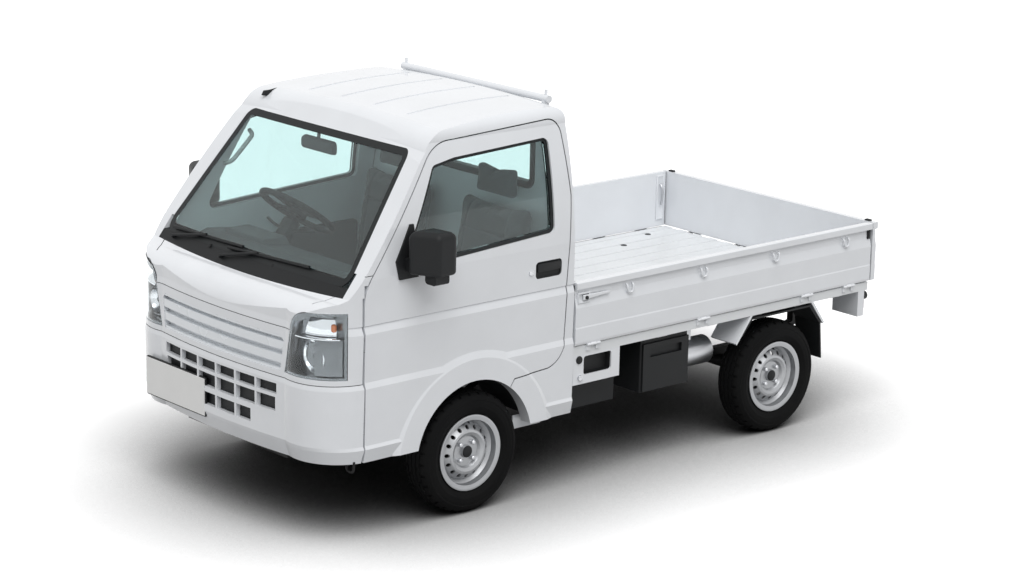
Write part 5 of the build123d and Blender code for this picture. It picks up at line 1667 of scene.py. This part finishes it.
@dataclass
class Cabin:
    """Window seal, mirror, grip, visors, mats and controls inside the cab."""

    nodes: dict[str, bpy.types.Object]
    wheel: tuple[float, float, float] = (1.000, -0.345, 1.160)
    boot_line: tuple[tuple[float, float], ...] = (
        (0.055, 0.641), (0.048, 0.660), (0.040, 0.664), (0.032, 0.690), (0.012, 0.712), (0.0004, 0.712),
    )

    def build(self) -> None:
        """Make the pieces of the cabin."""
        self._rear_seal().dress(RUBBER_SEAL, "chassis")
        self._room_mirror()
        self._grips()
        self._visors()
        self._mats()
        self._controls()
        self._dash()

    def _rear_seal(self) -> Workpiece:
        """Rubber frame of the rear window."""
        low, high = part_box("rear_window")
        wall_low, wall_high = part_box("cab_back_wall")
        edge = 0.018
        piece = Workpiece.block(
            "rear_window_seal",
            (wall_low.x - 0.0025, low.y - edge, low.z - edge),
            (wall_high.x + 0.0045, high.y + edge, high.z + edge),
        )
        piece.pick_along(Axis.ALONG).bevel(0.050, 5)
        return piece.pierce(0, 0.032).soften(0.0018)

    def _room_mirror(self) -> None:
        """Mirror that hangs behind the top of the windscreen."""
        y, z = -0.075, 1.520
        x = meet(self.nodes["windscreen"], (0.8, y, z + 0.035), (1, 0, 0)).x - 0.045
        head = Workpiece.block(
            "room_mirror", (x - 0.014, y - 0.118, z - 0.031), (x + 0.012, y + 0.118, z + 0.031)
        )
        head.pick_along(Axis.ALONG).bevel(0.018, 4)
        head.pick_side(Facing.FRONT).resize((1, 0.93, 0.8), (x, y, z))
        head.soften(0.004, 3)
        roof = meet(self.nodes["cab_roof"], (x - 0.01, y, 1.3), (0, 0, 1)).z
        stem = Workpiece.bar(
            "mirror_stem", [(x, y, z), (x - 0.002, y, (z + roof) / 2), (x - 0.012, y, roof + 0.002)], 0.008
        )
        head.join(stem).dress(GREY_TRIM, "chassis")
        face = Workpiece.block(
            "room_mirror_face", (x - 0.0155, y - 0.112, z - 0.026), (x - 0.0135, y + 0.112, z + 0.026)
        )
        face.pick_along(Axis.ALONG).bevel(0.015, 4)
        face.soften(0.0006).dress(MIRROR_FACE, "chassis")

    def _grips(self) -> None:
        """Pale grip on each windscreen pillar."""
        points = [
            (1.216, -0.600, 1.362), (1.212, -0.560, 1.372), (1.180, -0.552, 1.405), (1.120, -0.548, 1.466),
            (1.092, -0.552, 1.490), (1.086, -0.590, 1.500),
        ]
        right = Workpiece.bar("pillar_grip_right", points, 0.010)
        for each in (right, right.mirrored("pillar_grip_left")):
            each.dress(PALE_TRIM, "chassis")

    def _visors(self) -> None:
        """Two sun visors folded up under the roof."""
        z = meet(self.nodes["cab_roof"], (0.98, 0.3, 1.3), (0, 0, 1)).z
        left = Workpiece.block("sun_visor_left", (0.900, 0.110, z - 0.026), (1.040, 0.470, z - 0.008))
        left.pick_along(Axis.UP).bevel(0.030, 5)
        left.pick_side(Facing.BOTTOM).inset(0.010, 0.002)
        left.soften(0.004, 3)
        for each in (left, left.mirrored("sun_visor_right")):
            each.dress(PALE_TRIM, "chassis")

    def _mats(self) -> None:
        """Ribbed mats on the foot well and in front of the seats."""
        for name, x0, x1, half, z in (
            ("foot_mat", 1.245, 1.590, 0.590, 0.420), ("seat_mat", 0.945, 1.175, 0.610, 0.640)
        ):
            mat = Workpiece.block(name, (x0, -half, z - 0.0005), (x1, half, z + 0.006))
            for k in range(1, 12):
                mat.cut((x0 + (x1 - x0) * k / 12, 0, z), (1, 0, 0))
            mat.pick_side(Facing.TOP).inset(0.005, 0.003, True)
            mat.soften(0.001).dress(FLOOR_MAT, "chassis")

    def _controls(self) -> None:
        """Gear lever, pedals, column shroud and stalks."""
        x, y, z = self.wheel
        boot = Workpiece.lathe(
            "gear_lever",
            [(1.060, -0.020 + radius, height) for radius, height in self.boot_line],
            (1.060, -0.020, 0.64),
            (0, 0, 1),
            28,
            False,
        )
        lever = Workpiece.bar(
            "gear_rod", [(1.060, -0.020, 0.70), (1.052, -0.025, 0.80), (1.020, -0.035, 0.930)], 0.007
        )
        knob = Workpiece.drum("gear_knob", 0.021, 0.052, (1.018, -0.036, 0.945), Axis.UP, 24)
        knob.pick_edges(lambda middle, way: abs(way.z) < 0.1).bevel(0.014, 4)
        boot.join(lever, knob).dress(BLACK_TRIM, "chassis")
        for number, across in enumerate((-0.250, -0.345, -0.440)):
            pad = Workpiece.block(
                f"pedal_{number}", (1.440, across - 0.030, 0.520), (1.452, across + 0.030, 0.575)
            )
            pad.pick_side(Facing.REAR).inset(0.005, 0.002)
            pad.soften(0.003)
            arm = Workpiece.bar(
                "pedal_arm", [(1.450, across, 0.55), (1.500, across, 0.66), (1.490, across, 0.80)], 0.007
            )
            pad.join(arm).dress(CHASSIS_BLACK, "chassis")
        tilt = Vector((0.6, 0, -0.8))
        hub = Vector((x, y, z))
        shroud = Workpiece.bar("column_shroud", [hub + tilt * d for d in (0.052, 0.09, 0.16, 0.20)], 0.043)
        shroud.pick_faces(lambda middle, normal: abs(normal.dot(tilt)) > 0.9).inset(0.010, 0.006)
        shroud.soften(0.002).dress(BLACK_TRIM, "chassis")
        for hand in (-1, 1):
            start = hub + tilt * 0.10
            points = [
                start, start + Vector((0, hand * 0.09, 0.006)), start + Vector((-0.02, hand * 0.170, 0.024))
            ]
            stalk = Workpiece.bar(f"column_stalk_{'left' if hand > 0 else 'right'}", points, 0.0065)
            stalk.dress(BLACK_TRIM, "chassis")

    def _dash(self) -> None:
        """Instrument hood, centre panel, glove lid and vents on the dashboard."""
        node = self.nodes["dashboard"]

        def rear(y: float, z: float) -> float:
            """Rear face of the dashboard at a place."""
            return meet(node, (0.6, y, z), (1, 0, 0)).x

        hood = Workpiece.block("instrument_hood", (1.150, -0.520, 1.030), (1.300, -0.170, 1.098))
        hood.pick_side(Facing.TOP).resize((0.8, 0.8, 1), (1.24, -0.345, 1.098))
        hood.pick_side(Facing.REAR).inset(0.012).push(-0.030)
        hood.soften(0.010, 3).dress(GREY_TRIM, "chassis")
        front = rear(0.02, 0.93)
        panel = Workpiece.block(
            "centre_panel", (front - 0.012, -0.105, 0.850), (front + 0.030, 0.145, 1.010)
        )
        panel.pick_side(Facing.REAR).inset(0.010).push(-0.004)
        panel.soften(0.004).dress(BLACK_TRIM, "chassis")
        for number, z in enumerate((0.885, 0.925, 0.970)):
            knob = Workpiece.drum(
                f"heater_knob_{number}", 0.014, 0.022, (front - 0.014, 0.105, z), Axis.ALONG, 24
            )
            knob.pick_side(Facing.REAR).inset(0.004, 0.002)
            knob.soften(0.0015).dress(GREY_TRIM, "chassis")
        front = rear(0.36, 0.94)
        lid = Workpiece.block("glove_lid", (front - 0.008, 0.190, 0.850), (front + 0.040, 0.540, 0.985))
        lid.pick_side(Facing.REAR).inset(0.012, 0.004)
        lid.soften(0.005).dress(GREY_TRIM, "chassis")
        for number, y in enumerate((-0.560, 0.570)):
            front = rear(y, 1.02)
            vent = Workpiece.block(
                f"side_vent_{number}", (front - 0.008, y - 0.045, 0.995), (front + 0.03, y + 0.045, 1.045)
            )
            vent.pick_side(Facing.REAR).inset(0.005)
            bpy.ops.mesh.subdivide(number_cuts=3)
            vent.pick_faces(
                lambda middle, normal: normal.x < -0.9 and abs(middle.y - y) < 0.038 and abs(
                    middle.z - 1.02
                ) < 0.019
            )
            vent.inset(0.002, 0.0, True).push(-0.006)
            vent.soften(0.001).dress(BLACK_TRIM, "chassis")


@dataclass
class UnderFittings:
    """Knob, key and recess of the tool panel, and the flange under the cab's rear corner."""

    def build(self) -> None:
        """Make the pieces under the bed's left side."""
        knob = Workpiece.drum("tool_panel_knob", 0.018, 0.012, (0.246, 0.7210, 0.581), Axis.ACROSS, 28)
        knob.pick_side(Facing.LEFT).inset(0.006, 0.002)
        knob.soften(0.002).dress(BLACK_TRIM, "chassis")
        lock = Workpiece.drum("tool_panel_lock", 0.013, 0.010, (0.240, 0.726, 0.497), Axis.ACROSS, 28)
        lock.pick_side(Facing.LEFT).inset(0.003, 0.001).inset(0.004).push(-0.001)
        lock.soften(0.0008).dress(BARE_STEEL, "chassis")
        cup = Workpiece.block("tool_panel_recess", (0.044, 0.672, 0.500), (0.224, 0.7135, 0.600))
        cup.pick_side(Facing.LEFT).inset(0.006).push(-0.034)
        cup.soften(0.002).dress(BLACK_TRIM, "chassis")
        flange = Workpiece.block("cab_rear_flange", (0.330, 0.634, 0.300), (0.560, 0.642, 0.362))
        flange.pick_points(lambda place: place.z < 0.31 and place.x < 0.4).move((0.070, 0, 0))
        flange.soften(0.0015).dress(WHITE_PAINT, "chassis")


@dataclass
class Stage:
    """Pale floor, soft light and the camera at the photograph's viewing angle."""

    position: tuple[float, float, float] = (8.322, 9.430, 4.023)
    azimuth: float = 138.22
    elevation: float = 14.77
    roll: float = 1.31
    focal: float = 2785.8
    offset: tuple[float, float] = (18.9, 3.1)
    width: int = 1024
    sensor: float = 36.0
    floor_size: float = 160.0
    shadow_reach: float = 1.1
    shadow_depth: float = 1.7
    floor_white: float = 1.3
    floor_bounce: float = 0.25
    dome: float = 0.58
    key_turn: tuple[float, float] = (-27.0, 17.0)
    key_energy: float = 1.75
    key_spread: float = 50.0

    def build(self) -> None:
        """Make floor, light and camera."""
        self._floor()
        self._light()
        self._camera()

    @staticmethod
    def _seen(tree: bpy.types.NodeTree) -> bpy.types.NodeSocket:
        """One where a ray comes straight, mirrored or through glass from the camera."""
        path = add_node(tree, "ShaderNodeLightPath").outputs
        shiny = math_node(tree, "MAXIMUM", path["Is Glossy Ray"], path["Is Transmission Ray"])
        return math_node(tree, "MAXIMUM", path["Is Camera Ray"], shiny)

    def _floor(self) -> None:
        """White floor that keeps the truck's shadow."""
        Workpiece.clear()
        bpy.ops.mesh.primitive_grid_add(
            x_subdivisions=4, y_subdivisions=4, size=self.floor_size, location=(0, 0, -0.0005)
        )
        floor = Workpiece._take("studio_floor").obj
        made = bpy.data.materials.new("pale_studio_floor")
        made.use_nodes = True
        tree = made.node_tree
        tree.nodes.clear()
        near = add_node(
            tree, "ShaderNodeAmbientOcclusion", {"Distance": self.shadow_reach}, samples=12
        ).outputs["AO"]
        shade = math_node(tree, "POWER", near, self.shadow_depth)
        white = blend_colour(tree, shade, (0, 0, 0, 1), (*[self.floor_white] * 3, 1))
        colour = blend_colour(tree, self._seen(tree), (*[self.floor_bounce] * 3, 1), white)
        diffuse = add_node(tree, "ShaderNodeBsdfDiffuse", {"Color": colour})
        add_node(tree, "ShaderNodeOutputMaterial", {"Surface": diffuse.outputs[0]})
        floor.data.materials.append(made)
        LOG.info("stage floor")

    def _light(self) -> None:
        """Even dome with a broad soft key from above."""
        world = bpy.data.worlds.new("studio_dome")
        bpy.context.scene.world = world
        world.use_nodes = True
        tree = world.node_tree
        tree.nodes.clear()
        strength = spread(tree, self._seen(tree), 0, 1, self.dome, 1.0)
        dome = add_node(tree, "ShaderNodeBackground", {"Color": (1, 1, 1, 1), "Strength": strength})
        add_node(tree, "ShaderNodeOutputWorld", {"Surface": dome.outputs[0]})
        lean = [math.radians(angle) for angle in self.key_turn]
        bpy.ops.object.light_add(type="SUN", location=(0, 0, 6), rotation=(*lean, 0))
        key = bpy.context.active_object
        key.name = "soft_key"
        key.data.energy = self.key_energy
        key.data.angle = math.radians(self.key_spread)
        LOG.info("stage light")

    def _camera(self) -> None:
        """Camera solved from the photograph."""
        turn, lift, roll = (math.radians(v) for v in (self.azimuth, self.elevation, self.roll))
        back = Vector((math.sin(turn) * math.cos(lift), -math.cos(turn) * math.cos(lift), math.sin(lift)))
        right = (-back).cross(Vector((0, 0, 1))).normalized()
        up = right.cross(-back)
        across = right * math.cos(roll) + up * math.sin(roll)
        above = up * math.cos(roll) - right * math.sin(roll)
        frame = Matrix((across, above, back)).transposed().to_4x4()
        frame.translation = Vector(self.position)
        data = bpy.data.cameras.new("photo_camera")
        data.sensor_width = self.sensor
        data.lens = self.focal * self.sensor / self.width
        data.shift_x = -self.offset[0] / self.width
        data.shift_y = self.offset[1] / self.width
        data.clip_end = 300
        camera = bpy.data.objects.new("photo_camera", data)
        camera.matrix_world = frame
        bpy.context.scene.collection.objects.link(camera)
        bpy.context.scene.camera = camera
        bpy.context.scene.view_settings.view_transform = "Standard"
        LOG.info("camera set")


def main() -> None:
    """Build every sub-assembly in order."""
    logging.basicConfig(level=logging.INFO, format="%(name)s: %(message)s")
    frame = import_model()
    Stage().build()
    CarriedNodes(frame["nodes"]).dress()
    Tyres().build()
    WheelFittings().build()
    HeadLamps(frame["nodes"]).build()
    RearLamps().build()
    FrontFittings(frame["nodes"]).build()
    DoorFittings(frame["nodes"]).build()
    BedFittings(frame["nodes"]).build()
    UnderFittings().build()
    Cabin(frame["nodes"]).build()
    Seats().build()
    Workpiece.clear()


if __name__ == "__main__":
    main()
